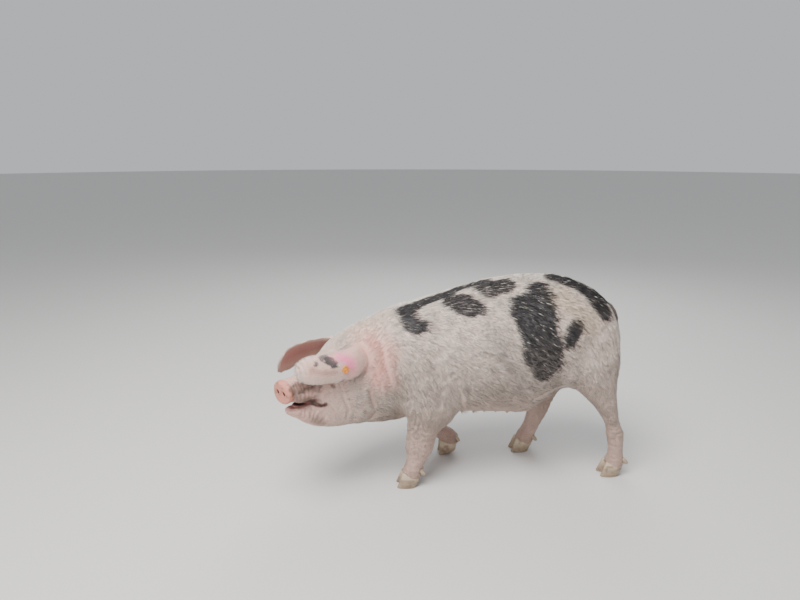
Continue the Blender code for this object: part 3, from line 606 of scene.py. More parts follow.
# Folds on either side of the face, by (ahead, lateral, height), and of the body: line, width and depth
FACE_FOLDS = [
    ([(0.235, 0.075, 0.455), (0.205, 0.092, 0.432), (0.185, 0.105, 0.395)], 0.0045, 0.0032),
    ([(0.255, 0.060, 0.470), (0.225, 0.078, 0.478), (0.205, 0.090, 0.490)], 0.0040, 0.0022),
    ([(0.16, 0.115, 0.46), (0.14, 0.125, 0.40), (0.145, 0.112, 0.345)], 0.0070, 0.0030),
    ([(0.215, 0.075, 0.500), (0.185, 0.092, 0.500), (0.155, 0.105, 0.515)], 0.0035, 0.0020),
]
BODY_FOLDS = [
    ([(-0.215, -0.150, 0.400), (-0.196, -0.163, 0.352), (-0.200, -0.155, 0.300)], 0.0055, 0.0042),
    ([(-0.190, -0.165, 0.398), (-0.176, -0.168, 0.350), (-0.182, -0.160, 0.305)], 0.0045, 0.0030),
    (
        [(-0.036, -0.184, 0.505), (-0.014, -0.175, 0.442), (0.000, -0.130, 0.372), (0.004, -0.090, 0.330)],
        0.0095,
        0.0075,
    ),
    ([(0.300, -0.150, 0.392), (0.360, -0.148, 0.425), (0.425, -0.130, 0.447)], 0.0100, 0.0060),
    ([(-0.330, -0.100, 0.640), (-0.322, -0.136, 0.560), (-0.300, -0.146, 0.480)], 0.0120, 0.0018),
    (
        [(-0.394, -0.150, 0.462), (-0.379, -0.150, 0.423), (-0.362, -0.148, 0.385), (-0.330, -0.146, 0.355)],
        0.0090,
        0.0046,
    ),
    ([(-0.345, -0.152, 0.480), (-0.330, -0.154, 0.425), (-0.296, -0.152, 0.375)], 0.0075, 0.0024),
    ([(-0.120, -0.170, 0.560), (-0.090, -0.178, 0.470), (-0.100, -0.176, 0.400)], 0.0130, 0.0030),
]


def folded():
    """How far each point of the skin moves outwards for its folds and wrinkles."""
    push = 0.0022 * noise(P, 0.085, 1) + 0.0012 * noise(P, 0.034, 2)
    push += 0.0004 * noise(P, 0.009, 3)
    push *= np.where(IS_EAR, 0.15, 1) * np.where(IS["snout"] | (P[:, 2] < 0.08), 0.2, 1)
    for side in (LEFT, RIGHT):
        for line, width, depth in FACE_FOLDS:
            push += crease(face_line(line, side), width, depth)
        centre, look, *_ = EYES[side]
        rel = P - centre
        reach = np.linalg.norm(rel - (rel @ look)[:, None] * look, axis=1)
        close = (np.linalg.norm(rel, axis=1) < 0.05) & (reach > 0.0165)
        ripples = waves(0.0010, reach * ROUND / 0.0068, 0.016, 12, 2.2)
        push += np.where(close, ripples * (1 - step(0.024, 0.042, reach)), 0)
    top = step(0.0, 0.5, N[:, 2]) * between(S, 0.265, 0.295, 0.340, 0.352) * step(0.50, 0.53, Z)
    push += top * waves(0.0012, S * ROUND / 0.0135, 0.03, 5)
    sides = between(S, 0.255, 0.285, 0.325, 0.345) * between(Z, 0.468, 0.480, 0.53, 0.55)
    push += sides * waves(0.0008, S * ROUND / 0.0165 + Z * 60, 0.03, 13, 5.0)
    jaw = step(0.20, 0.24, S) * (1 - step(0.425, 0.435, Z))
    push += jaw * waves(0.0008, S * ROUND / 0.022 + Z * 130, 0.03, 14)
    push[(S > 0.235) & (Z > 0.429) & (Z < 0.470) & (np.abs(L) < 0.044)] = 0
    for side in (LEFT, RIGHT):
        nostril = distance(P, head_point(0.372, -side * NOSTRIL_ASIDE, NOSTRIL_HEIGHT))
        push += np.where(S > 0.355, 0.0018 * np.exp(-(((nostril - 0.0145) / 0.004) ** 2)), 0)
    brow = step(0.1, 0.5, N[:, 2]) * between(S, 0.13, 0.16, 0.22, 0.25) * (~IS_EAR)
    push += brow * waves(0.0010, S * ROUND / 0.021, 0.05, 6, 2.0)
    for line, width, depth in BODY_FOLDS:
        push += crease(line, width, depth)
        push += crease([(x, 2 * SHIFT[1] - y, z) for x, y, z in line], width, depth)
    shank = IS_LEG & (Z < 0.14) & (Z > 0.055)
    push += shank * waves(0.0006, Z * ROUND / 0.015, 0.03, 8, 5.0)
    joint = IS_LEG & (Z > 0.14) & (Z < 0.30)
    push += joint * waves(0.0005, Z * ROUND / 0.024, 0.04, 9, 6.0)
    return push


# The coat's depth, by which the skin lies inside the solids
COAT = np.where(IS["torso"] | IS["neck"], 0.0030, 0.0020)
COAT = np.where(IS_EAR | IS["tail"], 0.0004, COAT)
COAT = np.where(IS["snout"], 0.0, COAT)
COAT = np.where(IS["head"], 0.0024 - 0.0016 * step(0.15, 0.28, S), COAT)
STILL = step(0.0165, 0.0260, from_eyes(P))
P = P + N * ((folded() - spread(COAT, 6)) * STILL)[:, None]
place_points(SKIN.data, P)
N = normals(SKIN.data)
OUTWARD = np.where(IS["ear_left"], 1, -1)
INNER_EAR = IS_EAR & ((N @ LEFTWARD) * OUTWARD < -0.05)

# How deep in a cavity each point of the lips and nostrils is
own_tree = tree_of(SKIN.data)
CAVITY = np.zeros(len(P))
for i in np.flatnonzero((S > 0.17) & (Z > 0.38) & (Z < 0.56) & ~IS_EAR):
    out = Vector(N[i])
    hit = own_tree.ray_cast(Vector(P[i]) + out * 0.0015, out, 0.05)[3]
    if hit is not None:
        CAVITY[i] = 1 - hit / 0.05
CAVITY = spread(CAVITY, 3)

# The black patches: each is a set of rounded strokes (line, radius) on the surface, and how black it is
PATCHES = [
    ([(-0.25, 0.00, 0.762), (-0.17, 0.010, 0.786), (-0.07, 0.030, 0.812), (0.05, 0.070, 0.847)], 0.038, 1.0),
    ([(-0.236, -0.040, 0.744), (-0.215, -0.080, 0.722), (-0.180, -0.108, 0.715)], 0.040, 1.0),
    ([(-0.048, -0.035, 0.808), (-0.010, -0.066, 0.802), (0.026, -0.098, 0.790)], 0.049, 0.9),
    ([(0.095, 0.030, 0.852), (0.118, -0.030, 0.850), (0.158, -0.020, 0.864)], 0.055, 0.85),
    ([(0.275, -0.135, 0.785), (0.290, -0.165, 0.710), (0.312, -0.180, 0.630)], 0.086, 1.0),
    ([(0.312, -0.180, 0.630), (0.330, -0.182, 0.568)], 0.066, 1.0),
    ([(0.300, -0.075, 0.868), (0.325, -0.115, 0.832)], 0.045, 1.0),
    ([(0.215, -0.112, 0.822), (0.220, -0.140, 0.780)], 0.028, 0.95),
    ([(0.342, -0.175, 0.520), (0.385, -0.160, 0.465)], 0.030, 0.42),
    ([(0.458, -0.156, 0.722), (0.442, -0.166, 0.700), (0.426, -0.174, 0.662)], 0.037, 1.0),
    ([(0.395, 0.020, 0.887), (0.450, -0.015, 0.880), (0.510, -0.035, 0.858)], 0.046, 0.85),
    ([(0.500, -0.020, 0.862), (0.560, -0.065, 0.818), (0.588, -0.085, 0.778)], 0.056, 0.95),
    ([(0.500, 0.070, 0.855), (0.570, 0.060, 0.825), (0.610, 0.020, 0.800)], 0.055, 0.9),
    ([(0.650, -0.010, 0.770), (0.668, -0.020, 0.720)], 0.028, 0.85),
    ([(0.145, -0.190, 0.600), (0.165, -0.190, 0.570)], 0.028, 0.30),
    ([(0.004, -0.182, 0.468)], 0.018, 0.5),
    ([(-0.410, -0.165, 0.380)], 0.011, 0.55),
]
# On the side that the photo doesn't show: (x, height) and radius
FAR_PATCHES = [
    ([(-0.130, 0.700), (-0.060, 0.620)], 0.052),
    ([(0.150, 0.735), (0.235, 0.650), (0.220, 0.560)], 0.066),
    ([(0.420, 0.770), (0.500, 0.680)], 0.058),
    ([(0.600, 0.610), (0.612, 0.530)], 0.034),
    ([(0.350, 0.500)], 0.024),
    ([(-0.300, 0.590)], 0.028),
]
for places, radius in FAR_PATCHES:
    line = []
    for x, z in places:
        line.append(tuple(own_tree.ray_cast(Vector((x, 1.0, z)), Vector((0, -1, 0)))[0]))
    PATCHES.append((line, radius, 0.97))
EAR_BLOTS = [
    ([(-0.550, -0.240, 0.634), (-0.528, -0.244, 0.618)], 0.0190, 0.97),
    ([(-0.568, -0.246, 0.640), (-0.552, -0.236, 0.652)], 0.0130, 0.75),
    ([(-0.592, -0.266, 0.624)], 0.0095, 0.95),
    ([(-0.583, -0.256, 0.642)], 0.0045, 0.8),
    ([(-0.572, -0.262, 0.604)], 0.0035, 0.8),
]


def blackness(points, jitter=0.0):
    """How black the coat is at each point, from 0 to 1."""
    wobble = 0.011 * noise(points, 0.046, 21) + 0.006 * noise(points, 0.019, 22)
    wobble += 0.003 * noise(points, 0.008, 23)
    found = np.zeros(len(points))
    for line, radius, strength in PATCHES:
        d = to_line(points, line) - radius + wobble * min(1.0, radius / 0.03) + jitter
        found = np.maximum(found, strength * (1 - step(-0.006, 0.006, d)))
    fleck = 0.0048 * noise(points, 0.007, 24) + 0.003 * noise(points, 0.003, 25)
    for line, radius, strength in EAR_BLOTS:
        d = to_line(points, line) - radius + 1.3 * fleck
        found = np.maximum(found, strength * (1 - step(-0.002, 0.002, d)))
    return found


WHITE_HAIR = np.array((0.72, 0.66, 0.60))
GREY_HAIR = np.array((0.46, 0.405, 0.37))
BLACK_HAIR = np.array((0.026, 0.024, 0.024))
# Mud brown, also used for painted shade in the crease between jowl and shoulder.
MUD_AND_SHADE_BROWN = np.array((0.27, 0.17, 0.115))
SMEAR = np.array((0.135, 0.092, 0.072))
CREAM_HAIR = (0.68, 0.58, 0.47)
PINK_SKIN = (0.66, 0.40, 0.34)
DARK_SKIN = (0.060, 0.055, 0.058)
INNER_EAR_SKIN = (0.54, 0.30, 0.28)


def mixed(a, b, share):
    share = np.clip(share, 0, 1)[:, None]
    return a * (1 - share) + np.asarray(b) * share


def spot(points, line, radius, soft, seed=31, rough=0.3):
    """1 within the radius of a line, with a soft and ragged edge."""
    d = to_line(points, line) - radius + rough * soft * noise(points, soft * 1.4, seed)
    return 1 - step(-soft, soft, d)


def face_spot(points, line, *edge):
    """A spot on the left of the face, by (ahead, lateral, height)."""
    return spot(points, face_line(line, LEFT), *edge)


# Stains, and on the ear a line of painted shade, each a colour, its share, and the spot: line, radius, soft
# edge, noise seed and raggedness
BODY_STAINS = [
    (
        (0.17, 0.155, 0.15),
        0.34,
        ([(0.110, -0.185, 0.690), (0.190, -0.190, 0.590), (0.235, -0.190, 0.500)], 0.040, 0.050, 59, 0.6),
    ),
    (
        (0.80, 0.42, 0.36),
        0.60,
        ([(0.185, -0.125, 0.425), (0.255, -0.130, 0.435), (0.320, -0.130, 0.465)], 0.022, 0.026),
    ),
    (
        (0.60, 0.47, 0.34),
        0.60,
        ([(0.40, -0.10, 0.845), (0.43, -0.13, 0.800), (0.52, -0.15, 0.730)], 0.036, 0.045),
    ),
]
NECK_STAINS = [
    ((0.80, 0.62, 0.50), 0.45, ([(-0.42, -0.03, 0.665), (-0.34, -0.02, 0.720)], 0.05, 0.06)),
    (MUD_AND_SHADE_BROWN, 0.35, ([(-0.355, -0.110, 0.610), (-0.340, -0.120, 0.560)], 0.012, 0.02)),
]
EAR_STAINS_AND_SHADE = [
    (
        (0.86, 0.36, 0.38),
        0.62,
        ([(-0.500, -0.215, 0.645), (-0.470, -0.200, 0.635), (-0.452, -0.215, 0.590)], 0.034, 0.026),
    ),
    (
        (0.92, 0.20, 0.42),
        0.72,
        ([(-0.503, -0.222, 0.640), (-0.474, -0.212, 0.622), (-0.458, -0.220, 0.598)], 0.019, 0.015, 54, 0.8),
    ),
    # A reddish-brown line along the ear's fold: painted shade in the fold.
    (
        (0.36, 0.17, 0.13),
        0.62,
        ([(-0.605, -0.275, 0.605), (-0.565, -0.270, 0.592), (-0.520, -0.258, 0.590)], 0.009, 0.011),
    ),
]


def coloured_spots(points, colour, rows):
    for tone, share, edge in rows:
        colour = mixed(colour, tone, share * spot(points, *edge))
    return colour


def face_stains_and_shade(points, colour):
    """Mud on the muzzle and cheek, a brown spot under the chin, the stain below the eye, the lids' dark
    margins, and painted shade in the crease behind the jowl, along the parting of the lips and inside the
    mouth.
    """
    ahead, lateral, height = head_axes(points)
    muzzle = face_spot(points, [(0.338, 0.043, 0.525), (0.300, 0.046, 0.528)], 0.027, 0.009, 45, 1.0)
    cheek = face_spot(points, [(0.276, 0.054, 0.528), (0.250, 0.062, 0.518)], 0.026, 0.009, 46, 1.0)
    under = face_spot(points, [(0.330, 0.042, 0.492), (0.295, 0.050, 0.480)], 0.016, 0.010, 47, 1.0)
    caked = 0.75 + 0.25 * noise(points, 0.011, 58)
    smeared = np.maximum(np.maximum(muzzle, cheek), 0.75 * under)
    colour = mixed(colour, SMEAR * 0.75, caked * smeared)
    rosy = face_spot(points, [(0.290, 0.056, 0.490), (0.262, 0.068, 0.478)], 0.010, 0.010)
    colour = mixed(colour, (0.66, 0.34, 0.28), 0.5 * rosy)
    chin = face_spot(points, [(0.262, 0.055, 0.375), (0.232, 0.070, 0.352)], 0.022, 0.018, 48, 0.6)
    colour = mixed(colour, SMEAR * 1.5, 0.75 * chin)
    tear = spot(points, [(-0.540, -0.205, 0.528), (-0.530, -0.208, 0.512)], 0.009, 0.008, 49, 0.8)
    trail = spot(points, [(-0.505, -0.228, 0.540), (-0.488, -0.234, 0.545)], 0.007, 0.008)
    colour = mixed(colour, SMEAR * 0.8, 0.85 * np.maximum(tear, 0.7 * trail))
    # Painted shade in the crease between jowl and shoulder, in the mud brown.
    shaded_jowl_crease = [(-0.394, -0.150, 0.462), (-0.362, -0.148, 0.385), (-0.330, -0.146, 0.355)]
    colour = mixed(colour, MUD_AND_SHADE_BROWN * 0.8, 0.45 * spot(points, shaded_jowl_crease, 0.010, 0.016))
    off_eye = from_eyes(points)
    colour = mixed(colour, (0.42, 0.21, 0.17), 0.7 * (1 - step(0.013, 0.032, off_eye)))
    colour = mixed(colour, (0.15, 0.07, 0.055), 0.75 * (1 - step(0.0150, 0.0166, off_eye)))
    # Painted shade along the parting of the lips, near black.
    for side in (LEFT, RIGHT):
        lips = spot(points, face_line(LIP_LINE, side), 0.0095, 0.0045, 50, 0.6)
        colour = mixed(colour, (0.085, 0.034, 0.026), 0.92 * lips)
    # The inside of the mouth: its dark red-brown made near black with painted shade.
    within = between(ahead, 0.232, 0.256, 0.306, 0.322) * between(height, 0.428, 0.437, 0.462, 0.472)
    colour = mixed(colour, (0.050, 0.020, 0.016), 0.93 * within)
    tongue = step(0.245, 0.275, ahead) * (np.abs(lateral) < 0.034) * (height > 0.4345) * (height < 0.4505)
    colour = mixed(colour, (0.30, 0.095, 0.085), 0.55 * tongue)
    wet = between(ahead, 0.23, 0.26, 0.33, 0.345) * step(0.455, 0.466, height)
    wet = wet * (1 - step(0.474, 0.492, height + 0.006 * noise(points, 0.012, 56)))
    return mixed(colour, SMEAR * 0.9, 0.7 * wet * (1 - within))


def stains_and_shade(points, colour, skin):
    """Flushes, mud and paint that lie over hair and skin alike, with painted shade over the lower flanks and
    the legs browner below the body.
    """
    x, height = points[:, 0], points[:, 2]
    grime = step(-0.15, 0.9, noise(points, 0.11, 41)) * (1 - step(0.45, 0.72, height))
    grime = grime * step(-0.38, -0.25, x)
    colour = mixed(colour, GREY_HAIR * (1.0, 0.95, 0.88), (0.20 if skin else 0.42) * grime)
    # Painted shade: the lower body darkened to a grey brown from the belly up to mid flank.
    low = step(0.70, 0.44, height) * step(-0.42, -0.30, x) * step(0.20, 0.34, height)
    colour = mixed(colour, (0.34, 0.275, 0.235), 0.56 * low * (1 + 0.4 * noise(points, 0.16, 57)))
    colour = coloured_spots(points, colour, BODY_STAINS)
    behind_ear = [(-0.395, -0.085, 0.655), (-0.345, -0.115, 0.600), (-0.350, -0.140, 0.520)]
    flush = spot(points, behind_ear, 0.050, 0.065)
    colour = mixed(colour, (0.80, 0.35, 0.29), (0.74 + 0.2 * noise(points, 0.02, 42)) * flush)
    colour = coloured_spots(points, colour, NECK_STAINS)
    colour = face_stains_and_shade(points, colour)
    colour = coloured_spots(points, colour, EAR_STAINS_AND_SHADE)
    # Browner and darker below the body, over the legs and the belly's underside.
    legs = 1 - step(0.22, 0.38, height)
    colour = mixed(colour, (0.28, 0.190, 0.155), (0.52 + 0.16 * noise(points, 0.035, 60)) * legs)
    feet = 1 - step(0.05, 0.14, height)
    return mixed(colour, MUD_AND_SHADE_BROWN, 0.45 * feet * (0.6 + 0.4 * noise(points, 0.02, 44)))


def skin_colour():
    mottle = 1 + 0.07 * noise(P, 0.012, 51) + 0.06 * noise(P, 0.05, 52)
    colour = np.tile(PINK_SKIN, (len(P), 1)) * mottle[:, None]
    furred = np.where(IS["torso"] | IS["neck"], 0.50, 0.22) * (1 - step(0.16, 0.33, S))
    furred = np.where(IS["snout"] | IS["tail"], 0.0, furred)
    colour = mixed(colour, WHITE_HAIR * 0.86, furred)
    rim = step(0.30, 0.80, RIM)
    colour = mixed(colour, (0.74, 0.50, 0.44), 0.8 * IS_EAR * rim)
    colour = mixed(colour, (0.64, 0.235, 0.175), 0.85 * IS["snout"])
    udder = step(0.2, 0.7, -N[:, 2]) * (Z < 0.42) * IS["torso"]
    colour = mixed(colour, (0.70, 0.36, 0.29), 0.5 * udder)
    colour = mixed(colour, DARK_SKIN, np.maximum(blackness(P), 0.85 * blackness(P, 0.006) ** 0.7))
    colour = mixed(colour, (0.16, 0.13, 0.12), 0.85 * IS["tail"])
    colour = stains_and_shade(P, colour, True)
    colour = mixed(colour, INNER_EAR_SKIN, 0.88 * INNER_EAR * (1 - rim))
    disc_mud = IS["snout"] * step(0.0, 0.8, noise(P, 0.014, 53) + 0.5 * noise(P, 0.006, 55))
    colour = mixed(colour, MUD_AND_SHADE_BROWN * 0.9, 0.65 * disc_mud)
    # Painted shade inside the nostrils.
    for side in (LEFT, RIGHT):
        pit = distance(P, head_point(0.360, -side * NOSTRIL_ASIDE, NOSTRIL_HEIGHT))
        colour = mixed(colour, (0.10, 0.030, 0.022), 0.9 * (1 - step(0.010, 0.0150, pit)) * (S < 0.372))
    # Painted shade: the mouth and nostrils darkened near black by how deep in a cavity each point lies.
    colour = mixed(colour, (0.035, 0.014, 0.012), step(0.30, 0.75, CAVITY))
    return np.clip(colour, 0, 1)


def write_colour(mesh, name, colours):
    layer = mesh.color_attributes.new(name, "FLOAT_COLOR", "POINT")
    filled = np.ones((len(colours), 4), np.float32)
    filled[:, :3] = colours
    layer.data.foreach_set("color", filled.ravel())


# Materials
def set_inputs(made, inputs):
    for key, value in inputs.items():
        made.inputs[key.replace("_", " ")].default_value = value
    return made


def new_material(name, **inputs):
    """A material whose shader has these constants, with its nodes and links."""
    made = bpy.data.materials.new(name)
    made.use_nodes = True
    nodes = made.node_tree.nodes
    return made, nodes, made.node_tree.links, set_inputs(nodes["Principled BSDF"], inputs)


def node(nodes, kind, **inputs):
    return set_inputs(nodes.new(kind), inputs)


def grain(nodes, links, scale, detail=3.0, stretch=None):
    """A noise texture over the object's own coordinates, stretched by these scales."""
    place = nodes.new("ShaderNodeTexCoord")
    turn = node(nodes, "ShaderNodeMapping", Scale=stretch or (1, 1, 1))
    texture = node(nodes, "ShaderNodeTexNoise", Scale=scale, Detail=detail)
    links.new(place.outputs["Object"], turn.inputs["Vector"])
    links.new(turn.outputs["Vector"], texture.inputs["Vector"])
    return texture


def bumped(nodes, links, shader, layers):
    """Bumps from (texture, height in metres, strength), one after the other."""
    last = None
    for texture, height, strength in layers:
        bump = node(nodes, "ShaderNodeBump", Distance=height, Strength=strength)
        links.new(texture.outputs[0], bump.inputs["Height"])
        if last:
            links.new(last.outputs["Normal"], bump.inputs["Normal"])
        last = bump
    links.new(last.outputs["Normal"], shader.inputs["Normal"])


def tinted(nodes, links, shader, texture, low, high):
    """The piece's own colours, made lighter and darker by a texture."""
    own = nodes.new("ShaderNodeAttribute")
    own.attribute_name = "tint"
    shade = node(nodes, "ShaderNodeMapRange", To_Min=low, To_Max=high)
    links.new(texture.outputs[0], shade.inputs["Value"])
    scale = nodes.new("ShaderNodeVectorMath")
    scale.operation = "SCALE"
    links.new(own.outputs["Color"], scale.inputs[0])
    links.new(shade.outputs[0], scale.inputs["Scale"])
    links.new(scale.outputs[0], shader.inputs["Base Color"])


def skin_material():
    made, nodes, links, shader = new_material("pig_skin", Specular_IOR_Level=0.35)
    streaks = grain(nodes, links, 9.0, 4.0, (3.5, 46.0, 40.0))
    pores = grain(nodes, links, 620.0, 2.0)
    lumps = grain(nodes, links, 95.0, 4.0)
    tinted(nodes, links, shader, streaks, 0.72, 1.22)
    bumped(nodes, links, shader, [(lumps, 0.0012, 0.5), (streaks, 0.0022, 0.6), (pores, 0.0004, 0.5)])
    rough = node(nodes, "ShaderNodeMapRange", To_Min=0.48, To_Max=0.70)
    links.new(lumps.outputs[0], rough.inputs["Value"])
    links.new(rough.outputs[0], shader.inputs["Roughness"])
    return made


def coat_material():
    made, nodes, links, shader = new_material("pig_hair", Roughness=0.52, Specular_IOR_Level=0.40)
    fibres = grain(nodes, links, 300.0, 2.0)
    tinted(nodes, links, shader, fibres, 0.85, 1.15)
    return made


def finished(obj, name, replaced, material):
    obj.name = name
    obj.data.name = name
    obj.data.materials.clear()
    obj.data.materials.append(material)
    obj.data.shade_smooth()
    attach(obj, "root")
    if replaced:
        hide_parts(*replaced)


write_colour(SKIN.data, "tint", skin_colour())
finished(SKIN, "skin", FLESH, skin_material())

# The lie of the coat
side_share = np.abs(N[:, 1])
torso_lie = np.stack([np.ones(len(P)), 0 * Z, -0.12 - 0.50 * side_share], axis=1)
ham = step(0.40, 0.62, P[:, 0]) * step(0.30, 0.8, 1 - N[:, 2])
torso_lie = mixed(torso_lie, (0.42, 0.0, -0.90), ham)
shoulder = (1 - step(-0.10, 0.06, P[:, 0])) * (1 - step(0.50, 0.66, Z))
torso_lie = mixed(torso_lie, (0.50, 0.0, -0.85), shoulder)
head_lie = -AHEAD + UPWARD * (0.28 - 0.75 * step(0.56, 0.40, Z))[:, None]
LIE = np.where((IS["head"] | IS["neck"])[:, None], head_lie, torso_lie)
LIE = np.where(IS_LEG[:, None], np.array((0.12, 0.0, -1.0)), LIE)
LIE = np.where(IS["tail"][:, None], np.array((0.1, 0.0, -1.0)), LIE)
LIE = unit(spread(unit(LIE), 24))
ear_way = AHEAD * 0.95 - UPWARD * 0.05
ear_turn = step(0.02, 0.28, S)
ear_lie = ear_way + LEFTWARD * (OUTWARD * (0.75 - 1.5 * ear_turn))[:, None]
LIE = np.where(IS_EAR[:, None], ear_lie, LIE)
LIE = unit(LIE - N * np.sum(LIE * N, axis=1)[:, None])

# How long and how dense the hair is at each point of the skin
ONES = np.ones(len(P))
HAIR = np.select(
    [IS["torso"], IS["neck"], IS["head"], IS_LEG, IS_EAR, IS["tail"]],
    [
        0.030 + 0.010 * step(0.3, 0.9, N[:, 2]) - 0.008 * step(0.4, 0.9, -N[:, 2]),
        0.031 * ONES,
        0.027 - 0.018 * step(0.05, 0.28, S),
        0.012 + 0.014 * step(0.08, 0.36, Z),
        0.0085 + 0.005 * (1 - step(0.0, 0.1, S)) + 0.005 * step(0.80, 0.97, RIM),
        0.022 * ONES,
    ],
    0.010,
)
THICKNESS = np.select(
    [IS["torso"], IS["neck"], IS["head"], IS_LEG, INNER_EAR, IS_EAR, IS["tail"]],
    [
        1.0 - 0.75 * step(0.55, 0.9, -N[:, 2]),
        1.15 * ONES,
        1.6 - 0.5 * step(0.24, 0.34, S),
        1.3 * ONES,
        0.35 + 3.6 * step(0.62, 0.90, RIM),
        2.2 + 1.6 * step(0.75, 0.95, RIM),
        1.6 * ONES,
    ],
    0.0,
)
THICKNESS = np.where(CAVITY > 0.2, 0, THICKNESS)
THICKNESS = np.where(from_eyes(P) < 0.0205, 0, THICKNESS)
teat_skin = IS["torso"] & (Z < 0.296) & (np.abs(P[:, 0] - 0.2) < 0.25)
THICKNESS = np.where(teat_skin | (S > 0.338) & ~IS_EAR & (Z > 0.45), 0, THICKNESS)
HAIR = spread(HAIR, 8)


def tuft_mesh(name, root, out, way, length, width, lift, sway, colour, uv):
    """Closed tapered slivers, each of two three-sided rings and a tip."""
    count = len(root)
    cross = np.cross(out, way)
    thick = 0.45 * width
    verts = np.empty((count, 7, 3))
    for ring, (share, half, rise, bend) in enumerate(((0.0, 0.50, -0.0012, 0.0), (0.5, 0.42, 0.62, 0.3))):
        height = rise if ring == 0 else (rise * lift)[:, None]
        place = root + way * (length * share)[:, None] + out * height + cross * (sway * bend)[:, None]
        verts[:, 3 * ring] = place - cross * (width * half)[:, None]
        verts[:, 3 * ring + 1] = place + out * thick[:, None]
        verts[:, 3 * ring + 2] = place + cross * (width * half)[:, None]
    verts[:, 6] = root + way * length[:, None] + out * lift[:, None] + cross * sway[:, None]
    faces = [(0, 2, 1), (0, 1, 4, 3), (1, 2, 5, 4), (2, 0, 3, 5), (3, 4, 6), (4, 5, 6), (5, 3, 6)]
    corners = np.array([i for face in faces for i in face])
    starts = np.cumsum([0] + [len(face) for face in faces])[:-1]
    mesh = bpy.data.meshes.new(name)
    mesh.vertices.add(count * 7)
    mesh.vertices.foreach_set("co", verts.astype(np.float32).ravel())
    loops = (np.arange(count)[:, None] * 7 + corners).ravel()
    mesh.loops.add(len(loops))
    mesh.loops.foreach_set("vertex_index", loops.astype(np.int32))
    mesh.polygons.add(count * len(faces))
    begins = (np.arange(count)[:, None] * len(corners) + starts).ravel()
    mesh.polygons.foreach_set("loop_start", begins.astype(np.int32))
    mesh.update(calc_edges=True)
    mesh.validate()
    # Painted shade and light on each sliver: darker at its root, lighter along its ridge and towards its
    # tip.
    shade = np.array((0.80, 0.88, 0.80, 1.0, 1.06, 1.0, 1.12))
    write_colour(mesh, "tint", np.clip(colour[:, None, :] * shade[:, None], 0, 1).reshape(-1, 3))
    patch = 0.003 * np.array([(0, 0), (0.5, 0.15), (1, 0), (0.1, 0.5), (0.5, 0.6), (0.9, 0.5), (0.5, 1.0)])
    layer = mesh.uv_layers.new(name="OFBake")
    layer.data.foreach_set("uv", (uv[:, None, :] + patch[corners]).astype(np.float32).ravel())
    return mesh


def wrapped(points, middle, along, start_way):
    """An unwrap round an axis: the angle about it and the distance along it, each from 0 to 1."""
    along = unit(np.array(along, float))
    first = unit(np.array(start_way, float) - along * (np.array(start_way) @ along))
    second = np.cross(along, first)
    rel = points - np.array(middle)
    turn = np.arctan2(rel @ second, rel @ first) / ROUND + 0.5
    reach = rel @ along
    reach = (reach - reach.min()) / max(np.ptp(reach), 1e-6)
    return np.stack([turn, reach], axis=1) * 0.985 + 0.004


def sample_roots(total):
    """Random places on the skin, by area and by how dense the coat is there."""
    skin = SKIN.data
    skin.calc_loop_triangles()
    tris = np.empty(len(skin.loop_triangles) * 3, int)
    skin.loop_triangles.foreach_get("vertices", tris)
    tris = tris.reshape(-1, 3)
    a, b, c = P[tris[:, 0]], P[tris[:, 1]], P[tris[:, 2]]
    area = np.linalg.norm(np.cross(b - a, c - a), axis=1) / 2
    weight = np.cumsum(area * THICKNESS[tris].mean(axis=1))
    picks = np.searchsorted(weight, np.sort(RANDOM.random(total)) * weight[-1])
    picks = np.minimum(picks, len(tris) - 1)
    share = RANDOM.dirichlet((1, 1, 1), total)
    return tris[picks], share


def at(values, corners, share):
    chosen = values[corners]
    return np.sum(chosen * (share if chosen.ndim == 2 else share[:, :, None]), axis=1)


def combed(points, way):
    """Streaks from -1 to 1 along the lie of the coat, about 6 mm wide."""
    total = sum(noise(points - way * reach, 0.0065, 64) for reach in (-0.018, -0.009, 0, 0.009, 0.018))
    return np.clip(total / 1.6, -1, 1)


# How many tufts, and how wide is one that is 30 mm long
TUFTS, QUICK_TUFTS, TUFT_WIDTH = 142000, 60000, 0.0013


def tuft_colours(root, way, part, inner, deep):
    """Each tuft's colour: white, cream and grey with grey streaks of painted shade, black in the patches,
    and marked and shaded as the skin is.
    """
    total = len(root)
    black = blackness(root, RANDOM.normal(0, 0.0035, total))
    pale = RANDOM.random(total)
    dark = (black > 0.5) & (pale > 0.035) & ~inner
    streak = combed(root, way)
    # Painted shade in the coat: grey streaks along its lie, stronger low on the body, for the shade between
    # sparse bristles.
    sparse_and_shaded = np.where(np.isin(part, (TORSO, NECK)), 0.35 + 0.65 * step(0.80, 0.55, root[:, 2]), 0.45)
    sparse_and_shaded = sparse_and_shaded * (0.3 + 0.7 * step(0.22, 0.36, root[:, 2]))
    light = RANDOM.uniform(0.80, 1.16, total) * (1 + 0.30 * sparse_and_shaded * streak)
    colour = mixed(np.tile(WHITE_HAIR, (total, 1)), CREAM_HAIR, RANDOM.random(total) ** 2 * 0.7)
    colour = mixed(colour, GREY_HAIR, 0.65 * sparse_and_shaded * step(0.05, 0.8, -streak)) * light[:, None]
    ahead = head_axes(root)[0]
    colour = mixed(colour, (0.76, 0.56, 0.49), 0.55 * step(0.10, 0.30, ahead) * (part == HEAD))
    colour = mixed(colour, (0.10, 0.085, 0.08), 0.9 * (part == TAIL))
    faint = (black > 0.15) & ~dark & (pale > 0.3)
    colour = mixed(colour, GREY_HAIR * 0.6, 0.75 * faint)
    colour = stains_and_shade(root, colour, False)
    colour = mixed(colour, (0.72, 0.42, 0.36), 0.8 * deep)
    return np.where(dark[:, None], BLACK_HAIR * RANDOM.uniform(0.6, 2.3, total)[:, None], colour)


